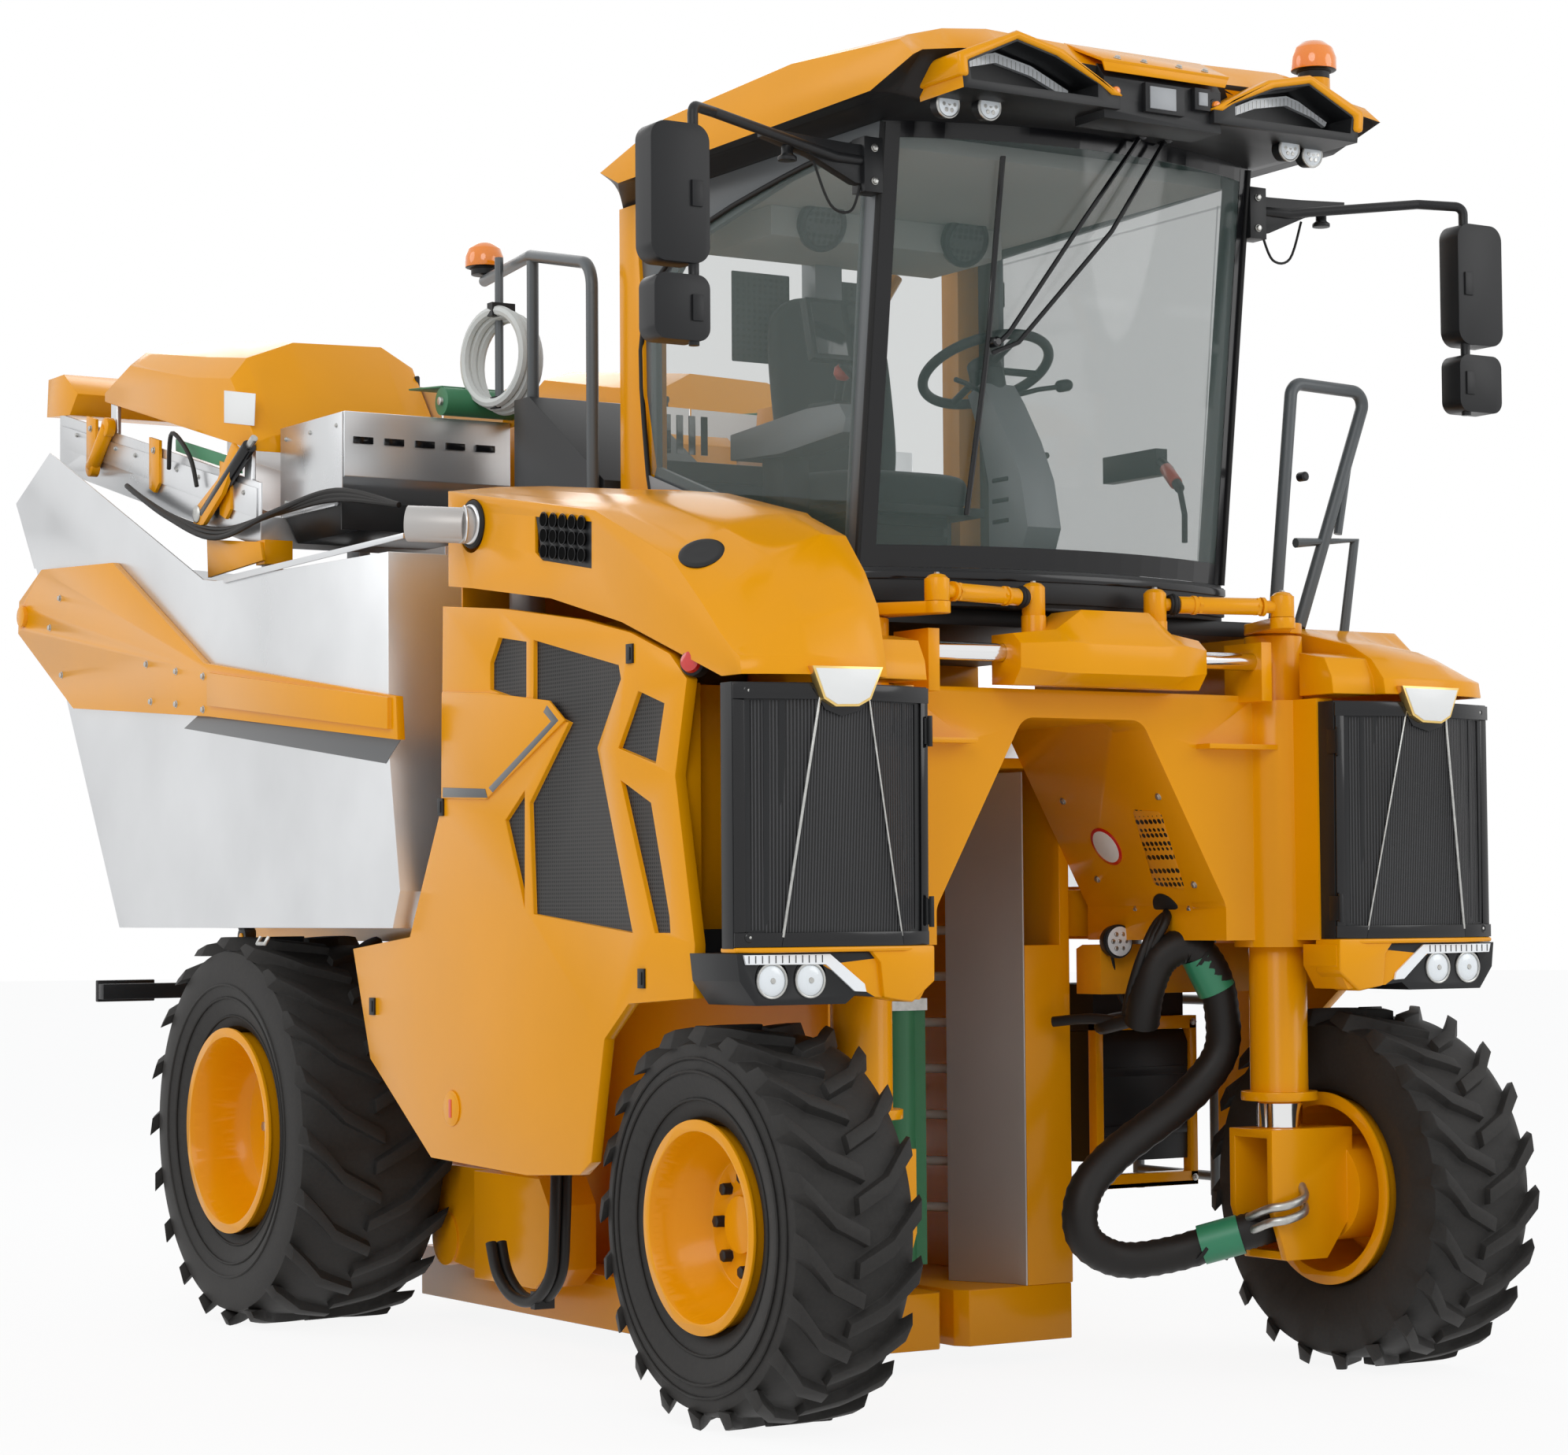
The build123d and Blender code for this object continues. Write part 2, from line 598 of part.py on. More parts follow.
with BuildPart() as rear_arm:
    block(REAR_ARM_IN_X, REAR_ARM_OUT_X, back(REAR_LEG_Y) - 40, REAR_Y + 140,
          ARM_PIVOT_Z - ARM_HALF_H, ARM_TOP)
    block(REAR_ARM_IN_X, REAR_ARM_OUT_X, back(REAR_LEG_Y), back(REAR_LEG_Y) + REAR_LEG_W,
          ARM_TOP, ARM_TOP + ARM_CAP_T - GAP)
    block(REAR_ARM_IN_X, REAR_ARM_OUT_X, REAR_Y - 140, REAR_Y + 140, ARM_TOP, REAR_R + 130)
    side_prism(REAR_ARM_IN_X, ARM_BOX_OUT_X, [
        (ARM_BOX_FRONT_Y + 60, ARM_TOP), (ARM_BOX_FRONT_Y, ARM_TOP - 80), (ARM_BOX_FRONT_Y, ARM_BOX_BOTTOM + 60),
        (ARM_BOX_FRONT_Y + 90, ARM_BOX_BOTTOM), (ARM_BOX_REAR_Y, ARM_BOX_BOTTOM), (ARM_BOX_REAR_Y, ARM_TOP)])
    side_prism(REAR_ARM_IN_X, REAR_ARM_OUT_X, [
        (ARM_BOX_REAR_Y, ARM_BOX_BOTTOM), (ARM_BOX_REAR_Y, ARM_TOP), (ARM_BOSS_Y + 150, ARM_TOP),
        (ARM_BOSS_Y + 60, ARM_BOSS_Z - ARM_BOSS_R + 14), (ARM_BOSS_Y - 60, ARM_BOSS_Z - ARM_BOSS_R + 14)])
    rod((REAR_ARM_IN_X, back(ARM_BOSS_Y), ARM_BOSS_Z), (REAR_ARM_OUT_X + 8, back(ARM_BOSS_Y), ARM_BOSS_Z),
        ARM_BOSS_R)
    rod((REAR_ARM_OUT_X, REAR_Y, REAR_R), (REAR_DISC_X - GAP, REAR_Y, REAR_R), MOTOR_R)
    mirror(about=Plane.YZ)
save(rear_arm.part, "rear_arms")

with BuildPart() as rear_frame:
    for side in (-1, 1):
        side_prism(side * BEAM_IN_X, side * (BEAM_IN_X + POST_T), [
            (BEAM_REAR_Y + GAP, BEAM_BOTTOM), (BEAM_REAR_Y + 230, BEAM_BOTTOM - 30),
            (HINGE_Y + 60, HINGE_Z - 90), (HINGE_Y + 60, HINGE_Z + 70), (HINGE_Y - 60, HINGE_Z + 70),
            (BEAM_REAR_Y + GAP, BEAM_TOP)])
        rod((side * (BEAM_IN_X + 20), back(CYL_FOOT_Y), CYL_FOOT_Z),
            (side * (CYL_X + 26), back(CYL_FOOT_Y), CYL_FOOT_Z), CYL_PIN_R)
    rod((-BIN_OUT_X - 40, back(HINGE_Y), HINGE_Z), (BIN_OUT_X + 40, back(HINGE_Y), HINGE_Z), HINGE_R)
save(rear_frame.part, "rear_frame")

BAR_Y = BEAM_REAR_Y + 350
BAR_Z = BEAM_BOTTOM - 210
BAR_H = 55
HITCH_T = 25
HITCH_PIN_R = 16.2
with BuildPart() as light_bar:
    block(-SORT_OUT_X, SORT_OUT_X, back(BAR_Y), back(BAR_Y) + 50, BAR_Z, BAR_Z + BAR_H)
    for side in (-1, 1):
        block(side * BEAM_IN_X, side * (BEAM_IN_X + 50), back(BEAM_REAR_Y) + 130, back(BAR_Y),
              BAR_Z + 30, BEAM_BOTTOM - 30)
    block(-60, 60, back(BAR_Y) + 50, back(BAR_Y) + 170, BAR_Z + 15, BAR_Z + 15 + HITCH_T)
    rod((0, back(BAR_Y) + 120, BAR_Z), (0, back(BAR_Y) + 120, BAR_Z + BAR_H), HITCH_PIN_R,
        mode=Mode.SUBTRACT)
save(light_bar.part, "rear_light_bar")

with BuildPart() as platform:
    block(-BEAM_OUT_X, BEAM_OUT_X, back(PLATFORM_FRONT_Y), back(PLATFORM_REAR_Y),
          PLATFORM_Z + GAP, PLATFORM_Z + PLATFORM_T)
    side_prism(-FAN_BOX_OUT_X, -FAN_BOX_IN_X, [
        (FAN_BOX_FRONT_Y, PLATFORM_Z + PLATFORM_T), (FAN_BOX_FRONT_Y, FAN_BOX_LOW_TOP),
        (PLATFORM_REAR_Y - 100, FAN_BOX_TOP), (PLATFORM_REAR_Y, FAN_BOX_TOP),
        (PLATFORM_REAR_Y, PLATFORM_Z + PLATFORM_T)])
save(platform.part, "cab_platform")

# Hoods. Columns: share of the drop towards the outer side, then the inner and outer heights
STEP_LINE = [(-190, HOOD_LOW_Z - 1), (37, 2011), (326, 2110), (721, 2204), (1196, 2270), (1360, 2289)]


def right_outline(brow_y, drop):
    """Right hood's outline: its brow's place, and 0 for the high inner skin up to 1 for the low outer one."""
    return [
        (brow_y, HOOD_LOW_Z), (brow_y + 8, HOOD_LOW_Z + 45), (brow_y + 40, 2118 - 120 * drop),
        (brow_y + 100, 2215 - 170 * drop), (brow_y + 190, 2318 - 190 * drop), (63, 2399 - 140 * drop),
        (470, 2494 - 70 * drop), (HOOD_REAR_Y, HOOD_TOP_Z + 6 - HOOD_SIDE_DROP * drop),
        (HOOD_REAR_Y, HOOD_LOW_Z)]


def left_outline(brow_y, drop):
    """Left hood's outline, which ends in a flat deck beside the cab door."""
    return [
        (brow_y, HOOD_LOW_Z), (brow_y + 8, HOOD_LOW_Z + 45), (brow_y + 60, 2040 - 40 * drop),
        (brow_y + 150, 2085 - 45 * drop), (0, 2125 - 40 * drop), (80, LEFT_DECK_Z),
        (470, LEFT_DECK_Z), (900, LEFT_DECK_Z), (HOOD_REAR_Y, LEFT_DECK_Z), (HOOD_REAR_Y, HOOD_LOW_Z)]


# Columns: X, the brow's place, share of the side drop
HOOD_SECTIONS = (
    (HOOD_BODY_X, HOOD_BROW_Y + 12, 0.0), (930, HOOD_BROW_Y, 0.0), (1100, HOOD_BROW_Y, 0.35),
    (1200, -315, 0.75), (HOOD_OUT_X, -284, 1.0))


def hood_shell(side, outline):
    """Hollow hood: walls all round, open below."""
    sections = [(side * x, outline(brow_y, drop)) for x, brow_y, drop in HOOD_SECTIONS]
    side_loft(sections)
    inner = []
    for x, points in sections:
        shrunk = side * min(max(abs(x), HOOD_BODY_X + WALL_T), HOOD_OUT_X - WALL_T)
        inner.append((shrunk, [
            (p + (WALL_T if p < 0 else 0) - (WALL_T if p > HOOD_REAR_Y - 1 else 0),
             z - WALL_T if z > HOOD_LOW_Z else z - 1) for p, z in points]))
    side_loft(inner, mode=Mode.SUBTRACT)


with BuildPart() as right_hood:
    hood_shell(-1, right_outline)
    side_prism(-HOOD_IN_X, -HOOD_BODY_X - WALL_T, [
        (-288, HOOD_LOW_Z), (-280, HOOD_LOW_Z + 50), (-250, 2040), (-140, 2060), (-140, HOOD_LOW_Z)])
    side_prism(-HOOD_IN_X, -HOOD_BODY_X - WALL_T, [
        (CORNER_Y, 2180), (CORNER_Y, 2330), (284, 2428), (702, 2526), (HOOD_REAR_Y, HOOD_TOP_Z + 6),
        (HOOD_REAR_Y, 2180)])
    side_prism(-HOOD_IN_X - WALL_T, -HOOD_BODY_X - WALL_T, [
        (CORNER_Y + WALL_T, 2179), (CORNER_Y + WALL_T, 2320), (284, 2416), (702, 2514),
        (HOOD_REAR_Y - WALL_T, HOOD_TOP_Z - 6), (HOOD_REAR_Y - WALL_T, 2179)], mode=Mode.SUBTRACT)
    side_prism(-SIDE_X + DOOR_T + SWING_GAP, -HOOD_OUT_X - 1,
               STEP_LINE + [(HOOD_REAR_Y + 16, HOOD_LOW_Z - 1)], mode=Mode.SUBTRACT)
    rod((-HOOD_OUT_X - 1, back(EXHAUST_Y), EXHAUST_Z), (-HOOD_OUT_X + 2 * WALL_T, back(EXHAUST_Y), EXHAUST_Z),
        EXHAUST_HOLE_R, mode=Mode.SUBTRACT)
    side_prism(-HOOD_OUT_X + 2 * WALL_T, -HOOD_OUT_X - 1, [
        (811, 2440), (487, 2395), (488, 2267), (766, 2313), (811, 2340)], mode=Mode.SUBTRACT)
save(right_hood.part, "right_hood")

with BuildPart() as left_hood:
    hood_shell(1, left_outline)
    side_prism(HOOD_IN_X, HOOD_BODY_X + WALL_T, [
        (-288, HOOD_LOW_Z), (-280, HOOD_LOW_Z + 50), (-250, 2040), (-140, 2060), (-140, HOOD_LOW_Z)])
save(left_hood.part, "left_hood")

with BuildPart() as engine:
    block(-HOOD_OUT_X + 120, -HOOD_BODY_X - WALL_T - SWING_GAP, back(ENGINE_FRONT_Y), back(ENGINE_REAR_Y),
          BEAM_TOP, ENGINE_TOP)
save(engine.part, "engine")

EXHAUST_IN_X = -HOOD_OUT_X + 180
with BuildPart() as exhaust:
    rod((EXHAUST_IN_X, back(EXHAUST_Y), ENGINE_TOP + GAP), (EXHAUST_IN_X, back(EXHAUST_Y), EXHAUST_Z),
        EXHAUST_R)
    rod((EXHAUST_IN_X, back(EXHAUST_Y), EXHAUST_Z), (-HOOD_OUT_X - 40, back(EXHAUST_Y), EXHAUST_Z),
        EXHAUST_R)
    rod((-HOOD_OUT_X - 20, back(EXHAUST_Y), EXHAUST_Z),
        (-HOOD_OUT_X - EXHAUST_OUT, back(EXHAUST_Y + 110), EXHAUST_Z + 10), EXHAUST_R)
    rod((-HOOD_OUT_X - 22, back(EXHAUST_Y), EXHAUST_Z),
        (-HOOD_OUT_X - EXHAUST_OUT - 2, back(EXHAUST_Y + 112), EXHAUST_Z + 10), EXHAUST_R - 4,
        mode=Mode.SUBTRACT)
save(exhaust.part, "exhaust")

# Side doors, hinged at their front edge, with sunk mesh windows and a raised arrow panel
DOOR_FRONT_EDGE = [
    (53, 1689), (-42, 1249), (-32, 1111), (303, 1091), (436, 993), (512, 660), (575, 622)]
RIGHT_DOOR_OUTLINE = [(-10, 1938)] + DOOR_FRONT_EDGE + [
    (882, 603), (1472, 620), (1879, 895), (1999, 1227), (1609, 1264), (1400, 1644),
    (1386, 2232), (1002, 2196), (543, 2132), (284, 2079), (78, 2009)]
LEFT_DOOR_OUTLINE = [(-8, LEFT_DOOR_TOP)] + DOOR_FRONT_EDGE + [
    (LEFT_DOOR_REAR_Y, 603), (LEFT_DOOR_REAR_Y, LEFT_DOOR_TOP)]
FRONT_WINDOWS = (
    ((243, 1920), (107, 1880), (154, 1724), (351, 1773)),
    ((339, 1686), (180, 1621), (86, 1318), (82, 1279), (164, 1279)))
REAR_WINDOWS = (
    ((1036, 2116), (870, 2093), (872, 1923), (1090, 1971), (1089, 2047)),
    ((828, 2095), (348, 1995), (336, 1958), (467, 1778), (280, 1279), (835, 1330), (855, 1640),
     (625, 1854), (830, 1914)),
    ((883, 1676), (886, 1348), (1001, 1595)))
LEFT_WINDOW = ((800, 1850), (400, 1850), (467, 1778), (280, 1279), (800, 1330))
ARROW_PANEL = ((1380, 1980), (1385, 1669), (1102, 1658), (634, 1861), (724, 1920), (1090, 1962))
with BuildPart() as right_door:
    side_prism(-SIDE_X, -SIDE_X + DOOR_T, RIGHT_DOOR_OUTLINE)
    for window in FRONT_WINDOWS + REAR_WINDOWS:
        side_prism(-SIDE_X - 1, -SIDE_X + WINDOW_DEPTH, window, mode=Mode.SUBTRACT)
    side_prism(-SIDE_X - ARROW_T, -SIDE_X, ARROW_PANEL)
save(right_door.part, "side_door_right")

with BuildPart() as left_door:
    side_prism(SIDE_X - DOOR_T, SIDE_X, LEFT_DOOR_OUTLINE)
    for window in FRONT_WINDOWS + (LEFT_WINDOW,):
        side_prism(SIDE_X - WINDOW_DEPTH, SIDE_X + 1, window, mode=Mode.SUBTRACT)
save(left_door.part, "side_door_left")

# Front corner posts that carry the hoods, grilles and doors
POST_OUT_X = SIDE_X - DOOR_T - GAP
with BuildPart() as corner:
    for side in (-1, 1):
        block(side * (BEAM_OUT_X + GAP), side * POST_OUT_X, back(CORNER_Y),
              back(CORNER_Y) + CORNER_T, BEAM_BOTTOM, HOOD_LOW_Z - GAP)
        block(side * (POST_OUT_X - 56), side * POST_OUT_X, back(DOOR_HINGE_Y) + 50, back(CORNER_Y),
              BEAM_BOTTOM, HOOD_LOW_Z - GAP)
save(corner.part, "corner_panels")

# Grilles: a prow of three facets with sunk ribs inside a frame
GRILLE_OUT_X = HOOD_OUT_X + GRILLE_OVERHANG
GRILLE_BACK_Y = HOOD_FRONT_Y + GRILLE_T


def grille_front(z, inset=0, sink=0):
    """Front line of the grille at this height, as (X, distance) points from the inner to the outer edge."""
    share = (z - GRILLE_BOTTOM) / (GRILLE_TOP - GRILLE_BOTTOM)
    deep = HOOD_FRONT_Y - 20 - (GRILLE_PROW - 14) * share + sink
    return [
        (HOOD_IN_X + inset, HOOD_FRONT_Y - 6 * share + sink), (788 + 134 * share, deep),
        (1162 - 103 * share, deep), (GRILLE_OUT_X - inset, HOOD_FRONT_Y + 6 + sink)]


def grille_section(z):
    """Outline of the whole grille at this height."""
    return grille_front(z) + [(GRILLE_OUT_X, GRILLE_BACK_Y), (HOOD_IN_X, GRILLE_BACK_Y)]


def pocket_section(z):
    """Outline of the hollow in front of the mesh at this height."""
    inner, *_, outer = sunk = grille_front(z, GRILLE_FRAME, GRILLE_MESH_DEPTH)
    return sunk + [(outer[0], HOOD_FRONT_Y - 3 * GRILLE_PROW), (inner[0], HOOD_FRONT_Y - 3 * GRILLE_PROW)]


RIB_SPAN = GRILLE_OUT_X - HOOD_IN_X - 2 * GRILLE_FRAME
RIB_COUNT = int(RIB_SPAN / GRILLE_RIB_PITCH)
with BuildPart() as pocket:
    top_loft([(z, pocket_section(z)) for z in (GRILLE_BOTTOM + GRILLE_FRAME, GRILLE_TOP - GRILLE_FRAME)])
    with Locations(((HOOD_IN_X + GRILLE_OUT_X) / 2, back(HOOD_FRONT_Y), (GRILLE_BOTTOM + GRILLE_TOP) / 2)):
        with GridLocations(RIB_SPAN / RIB_COUNT, 0, RIB_COUNT - 1, 1):
            Box(GRILLE_RIB_W, 8 * GRILLE_PROW, GRILLE_TOP - GRILLE_BOTTOM, mode=Mode.SUBTRACT)
with BuildPart() as grille:
    top_loft([(z, grille_section(z)) for z in (GRILLE_BOTTOM, GRILLE_TOP)])
    add(pocket.part, mode=Mode.SUBTRACT)
save_pair(grille, "front_grille")

# Headlamp units under the grilles
with BuildPart() as lamp_unit:
    front_prism(back(HOOD_FRONT_Y - 12), back(-60), [
        (LEG_X + 150, LAMP_TOP), (GRILLE_OUT_X, LAMP_TOP), (GRILLE_OUT_X - 8, LAMP_TOP - 70),
        (1230, LAMP_BOTTOM), (960, LAMP_BOTTOM), (930, LAMP_BOTTOM + 22), (LEG_X + 150, LAMP_BOTTOM + 16)])
    front_prism(back(HOOD_FRONT_Y - 12), back(-150), [
        (HOOD_IN_X - 8, LAMP_TOP), (LEG_X + 150, LAMP_TOP), (LEG_X + 150, LAMP_BOTTOM + 16),
        (730, LAMP_BOTTOM + 6), (HOOD_IN_X - 8, LAMP_TOP - 60)])
    block(LEG_X + 140, POST_OUT_X - 56 - SWING_GAP, back(-60), back(CORNER_Y) - GAP,
          LAMP_BOTTOM + 20, LAMP_TOP)
    block(LEG_X + 140, POST_OUT_X - 56 - SWING_GAP, back(80), back(CORNER_Y) - GAP, LAMP_TOP, LAMP_TOP + 60)
    for lamp_x in LAMP_XS:
        rod((lamp_x, back(HOOD_FRONT_Y - 13), LAMP_Z), (lamp_x, back(HOOD_FRONT_Y + 12), LAMP_Z),
            LAMP_R + 4, mode=Mode.SUBTRACT)
        rod((lamp_x, back(HOOD_FRONT_Y - 8), LAMP_Z), (lamp_x, back(HOOD_FRONT_Y + 20), LAMP_Z), LAMP_R)
    mirror(about=Plane.YZ)
save(lamp_unit.part, "headlamp_units")


# Cab
def bowed_plan(z, front, rear_left, rear_right):
    """Plan outline at this height whose front line bows forward between the two front pillars."""
    half = CAB_HALF - 3
    with BuildSketch(Plane.XY.offset(z)) as plan:
        with BuildLine():
            ThreePointArc((-half, back(front)), (0, back(front - GLASS_BULGE)), (half, back(front)))
            Line((half, back(front)), (half, back(rear_left)))
            if rear_left == rear_right:
                Line((half, back(rear_left)), (-half, back(rear_left)))
            Line((-half, back(rear_right)), (-half, back(front)))
        make_face()
    return plan.sketch


FLOOR_TOP = CAB_FLOOR_Z + CAB_FLOOR_T
GLASS_FOOT = FLOOR_TOP + GAP
GLASS_HEAD = CAB_TOP_Z - GAP
CAB_TOP_FRONT_Y = CAB_FRONT_Y - CAB_LEAN
PILLAR_BACK = GLASS_T + GAP
SIDE_WALL = [
    (CAB_FRONT_Y + PILLAR_BACK, FLOOR_TOP), (CAB_REAR_Y, FLOOR_TOP), (CAB_REAR_Y, CAB_TOP_Z),
    (CAB_TOP_FRONT_Y + PILLAR_BACK, CAB_TOP_Z)]
SIDE_WINDOW = [
    (185, FLOOR_TOP + 50), (CAB_REAR_Y - POST_D, FLOOR_TOP + 20 + CAB_SILL_RISE),
    (CAB_REAR_Y - POST_D, 3120), (981, 3300), (460, 3390), (75, 3420)]
SIDE_GLASS = [
    (168, FLOOR_TOP + 30), (CAB_REAR_Y - POST_D + 16, FLOOR_TOP + CAB_SILL_RISE),
    (CAB_REAR_Y - POST_D + 16, 3136), (990, 3320), (460, 3410), (48, 3440)]
DOOR_OPENING = [
    (205, FLOOR_TOP - 1), (CAB_REAR_Y - POST_D, FLOOR_TOP - 1), (CAB_REAR_Y - POST_D, 3400),
    (80, 3430)]
with BuildPart() as cab_frame:
    extrude(bowed_plan(CAB_FLOOR_Z, CAB_FRONT_Y, CAB_REAR_Y, CAB_REAR_Y), amount=CAB_FLOOR_T)
    block(-CAB_HALF, CAB_HALF, back(CAB_REAR_Y) - 40, back(CAB_REAR_Y), FLOOR_TOP, CAB_WALL_TOP)
    for side, opening in ((-1, SIDE_WINDOW), (1, DOOR_OPENING)):
        side_prism(side * (CAB_HALF - CAB_WALL_T), side * CAB_HALF, SIDE_WALL)
        side_prism(side * (CAB_HALF - CAB_WALL_T - 1), side * (CAB_HALF + 1), opening, mode=Mode.SUBTRACT)
        side_prism(side * (CAB_HALF - PILLAR_W), side * (CAB_HALF - 3), [
            (CAB_FRONT_Y + PILLAR_BACK, FLOOR_TOP), (CAB_FRONT_Y + PILLAR_D, FLOOR_TOP),
            (CAB_TOP_FRONT_Y + PILLAR_D, CAB_TOP_Z), (CAB_TOP_FRONT_Y + PILLAR_BACK, CAB_TOP_Z)])
        block(side * (CAB_HALF - POST_W), side * CAB_HALF, back(CAB_REAR_Y - 90), back(CAB_REAR_Y),
              FLOOR_TOP, CAB_TOP_Z)
save(cab_frame.part, "cab_frame")

# Roof. Columns: X and, at that X, the rear low, rear, two top, brow, front and front low points
ROOF_LOW = CAB_TOP_Z + GAP
ROOF_SECTIONS = (
    (0, ((1400, ROOF_LOW), (1430, 3600), (1000, 3720), (250, 3738), (-310, 3660), (-400, 3590),
         (-380, ROOF_LOW))),
    (500, ((1400, ROOF_LOW), (1425, 3590), (1000, 3712), (200, 3732), (-310, 3675), (-400, 3600),
           (-300, ROOF_LOW))),
    (640, ((1395, ROOF_LOW), (1400, 3580), (1000, 3690), (250, 3708), (-305, 3660), (-390, 3590),
           (-250, ROOF_LOW))),
    (740, ((1248, 3502), (1358, 3562), (976, 3654), (278, 3673), (-290, 3634), (-360, 3580),
           (-230, 3490))),
    (800, ((1143, 3487), (1252, 3537), (874, 3627), (184, 3646), (-340, 3604), (-405, 3551),
           (-202, 3495))))
EAR = [(160, 3514), (359, 3603), (504, 3632), (683, 3552), (673, ROOF_LOW), (160, ROOF_LOW)]
EAR_POCKET = [(235, 3530), (375, 3585), (500, 3612), (655, 3540), (648, 3494), (235, 3494)]
with BuildPart() as roof:
    side_loft(ROOF_SECTIONS)
    front_prism(back(EAR_FRONT_Y), back(-250), EAR)
    front_prism(back(EAR_FRONT_Y) - 1, back(EAR_FRONT_Y) + EAR_DEPTH, EAR_POCKET, mode=Mode.SUBTRACT)
    mirror(about=Plane.YZ)
    side_prism(-200, 200, [
        (VISOR_Y, CAB_TOP_Z - 22), (VISOR_Y, 3560), (VISOR_Y + 30, 3600), (-300, 3600),
        (-300, CAB_TOP_Z - 22)])
    rod((BEACON_X, back(BEACON_Y), 3560), (BEACON_X, back(BEACON_Y), BEACON_PAD_TOP), 46)
save(roof.part, "cab_roof")


def glass_section(z, front):
    """Bowed strip of glass at this height."""
    half = CAB_HALF - 3
    tip = back(front)
    with BuildSketch(Plane.XY.offset(z)) as strip:
        with BuildLine():
            ThreePointArc((-half, tip), (0, tip - GLASS_BULGE), (half, tip))
            Line((half, tip), (half, tip + GLASS_T))
            ThreePointArc((half, tip + GLASS_T), (0, tip + GLASS_T - GLASS_BULGE), (-half, tip + GLASS_T))
            Line((-half, tip + GLASS_T), (-half, tip))
        make_face()
    return strip.sketch


with BuildPart() as windshield:
    loft(sections=[glass_section(GLASS_FOOT, CAB_FRONT_Y), glass_section(GLASS_HEAD, CAB_TOP_FRONT_Y)],
         ruled=True)
save(windshield.part, "windshield")

with BuildPart() as side_glass:
    side_prism(-CAB_HALF - GLASS_T - GAP, -CAB_HALF - GAP, SIDE_GLASS)
save(side_glass.part, "cab_glass_right")

DOOR_IN_X = CAB_HALF + GAP
DOOR_OUT_X = CAB_HALF + 36
CAB_DOOR = [(190, FLOOR_TOP + 12), (1310, FLOOR_TOP + 12), (1310, CAB_TOP_Z - 12), (55, CAB_TOP_Z - 12)]
CAB_DOOR_WINDOW = [(245, FLOOR_TOP + 80), (1250, FLOOR_TOP + 80), (1250, 3390), (130, 3390)]
with BuildPart() as cab_door:
    side_prism(DOOR_IN_X, DOOR_OUT_X, CAB_DOOR)
    side_prism(DOOR_IN_X + GLASS_T + 6, DOOR_OUT_X + 1, CAB_DOOR_WINDOW, mode=Mode.SUBTRACT)
    side_prism(DOOR_IN_X - 1, DOOR_IN_X + 6, CAB_DOOR_WINDOW, mode=Mode.SUBTRACT)
save(cab_door.part, "cab_door")

# Seat with its armrest and two monitors, and the steering column
SEAT_FLOOR = FLOOR_TOP + GAP
with BuildPart() as seat:
    block(-150, 150, back(820), back(1120), SEAT_FLOOR, FLOOR_TOP + 260)
    side_prism(-250, 250, [
        (700, FLOOR_TOP + 330), (720, FLOOR_TOP + 255), (1180, FLOOR_TOP + 225), (1230, FLOOR_TOP + 330),
        (1240, FLOOR_TOP + 350), (760, FLOOR_TOP + 380)])
    side_prism(-230, 230, [
        (1100, FLOOR_TOP + 330), (1230, FLOOR_TOP + 320), (1310, FLOOR_TOP + 950), (1230, FLOOR_TOP + 960),
        (1140, FLOOR_TOP + 420)])
    side_prism(-390, -270, [
        (560, FLOOR_TOP + 440), (560, FLOOR_TOP + 520), (1180, FLOOR_TOP + 500), (1180, FLOOR_TOP + 420)])
    block(-340, -250, back(960), back(1080), FLOOR_TOP + 240, FLOOR_TOP + 430)
    rod((-330, back(600), FLOOR_TOP + 500), (-330, back(560), FLOOR_TOP + 640), 20)
    for panel_x in (-454, -330):
        side_prism(panel_x - 62, panel_x + 62, [
            (520, FLOOR_TOP + 640), (548, FLOOR_TOP + 632), (590, FLOOR_TOP + 800), (562, FLOOR_TOP + 808)])
save(seat.part, "seat")

WHEEL_AT = (60, back(490), FLOOR_TOP + 640)
WHEEL_R = 190
wheel_plane = Plane(origin=WHEEL_AT, z_dir=(0, 0.42, 0.91))
with BuildPart() as column:
    block(-20, 140, back(250), back(410), SEAT_FLOOR, FLOOR_TOP + 60)
    rod((60, back(330), FLOOR_TOP + 30), WHEEL_AT, 52)
    with Locations(wheel_plane):
        Torus(WHEEL_R, 15)
        Cylinder(52, 40)
    for reach in ((WHEEL_R, 0), (-WHEEL_R, 0), (0, -WHEEL_R)):
        rod(WHEEL_AT, tuple(wheel_plane.from_local_coords((*reach, 0))), 11)
save(column.part, "steering_column")

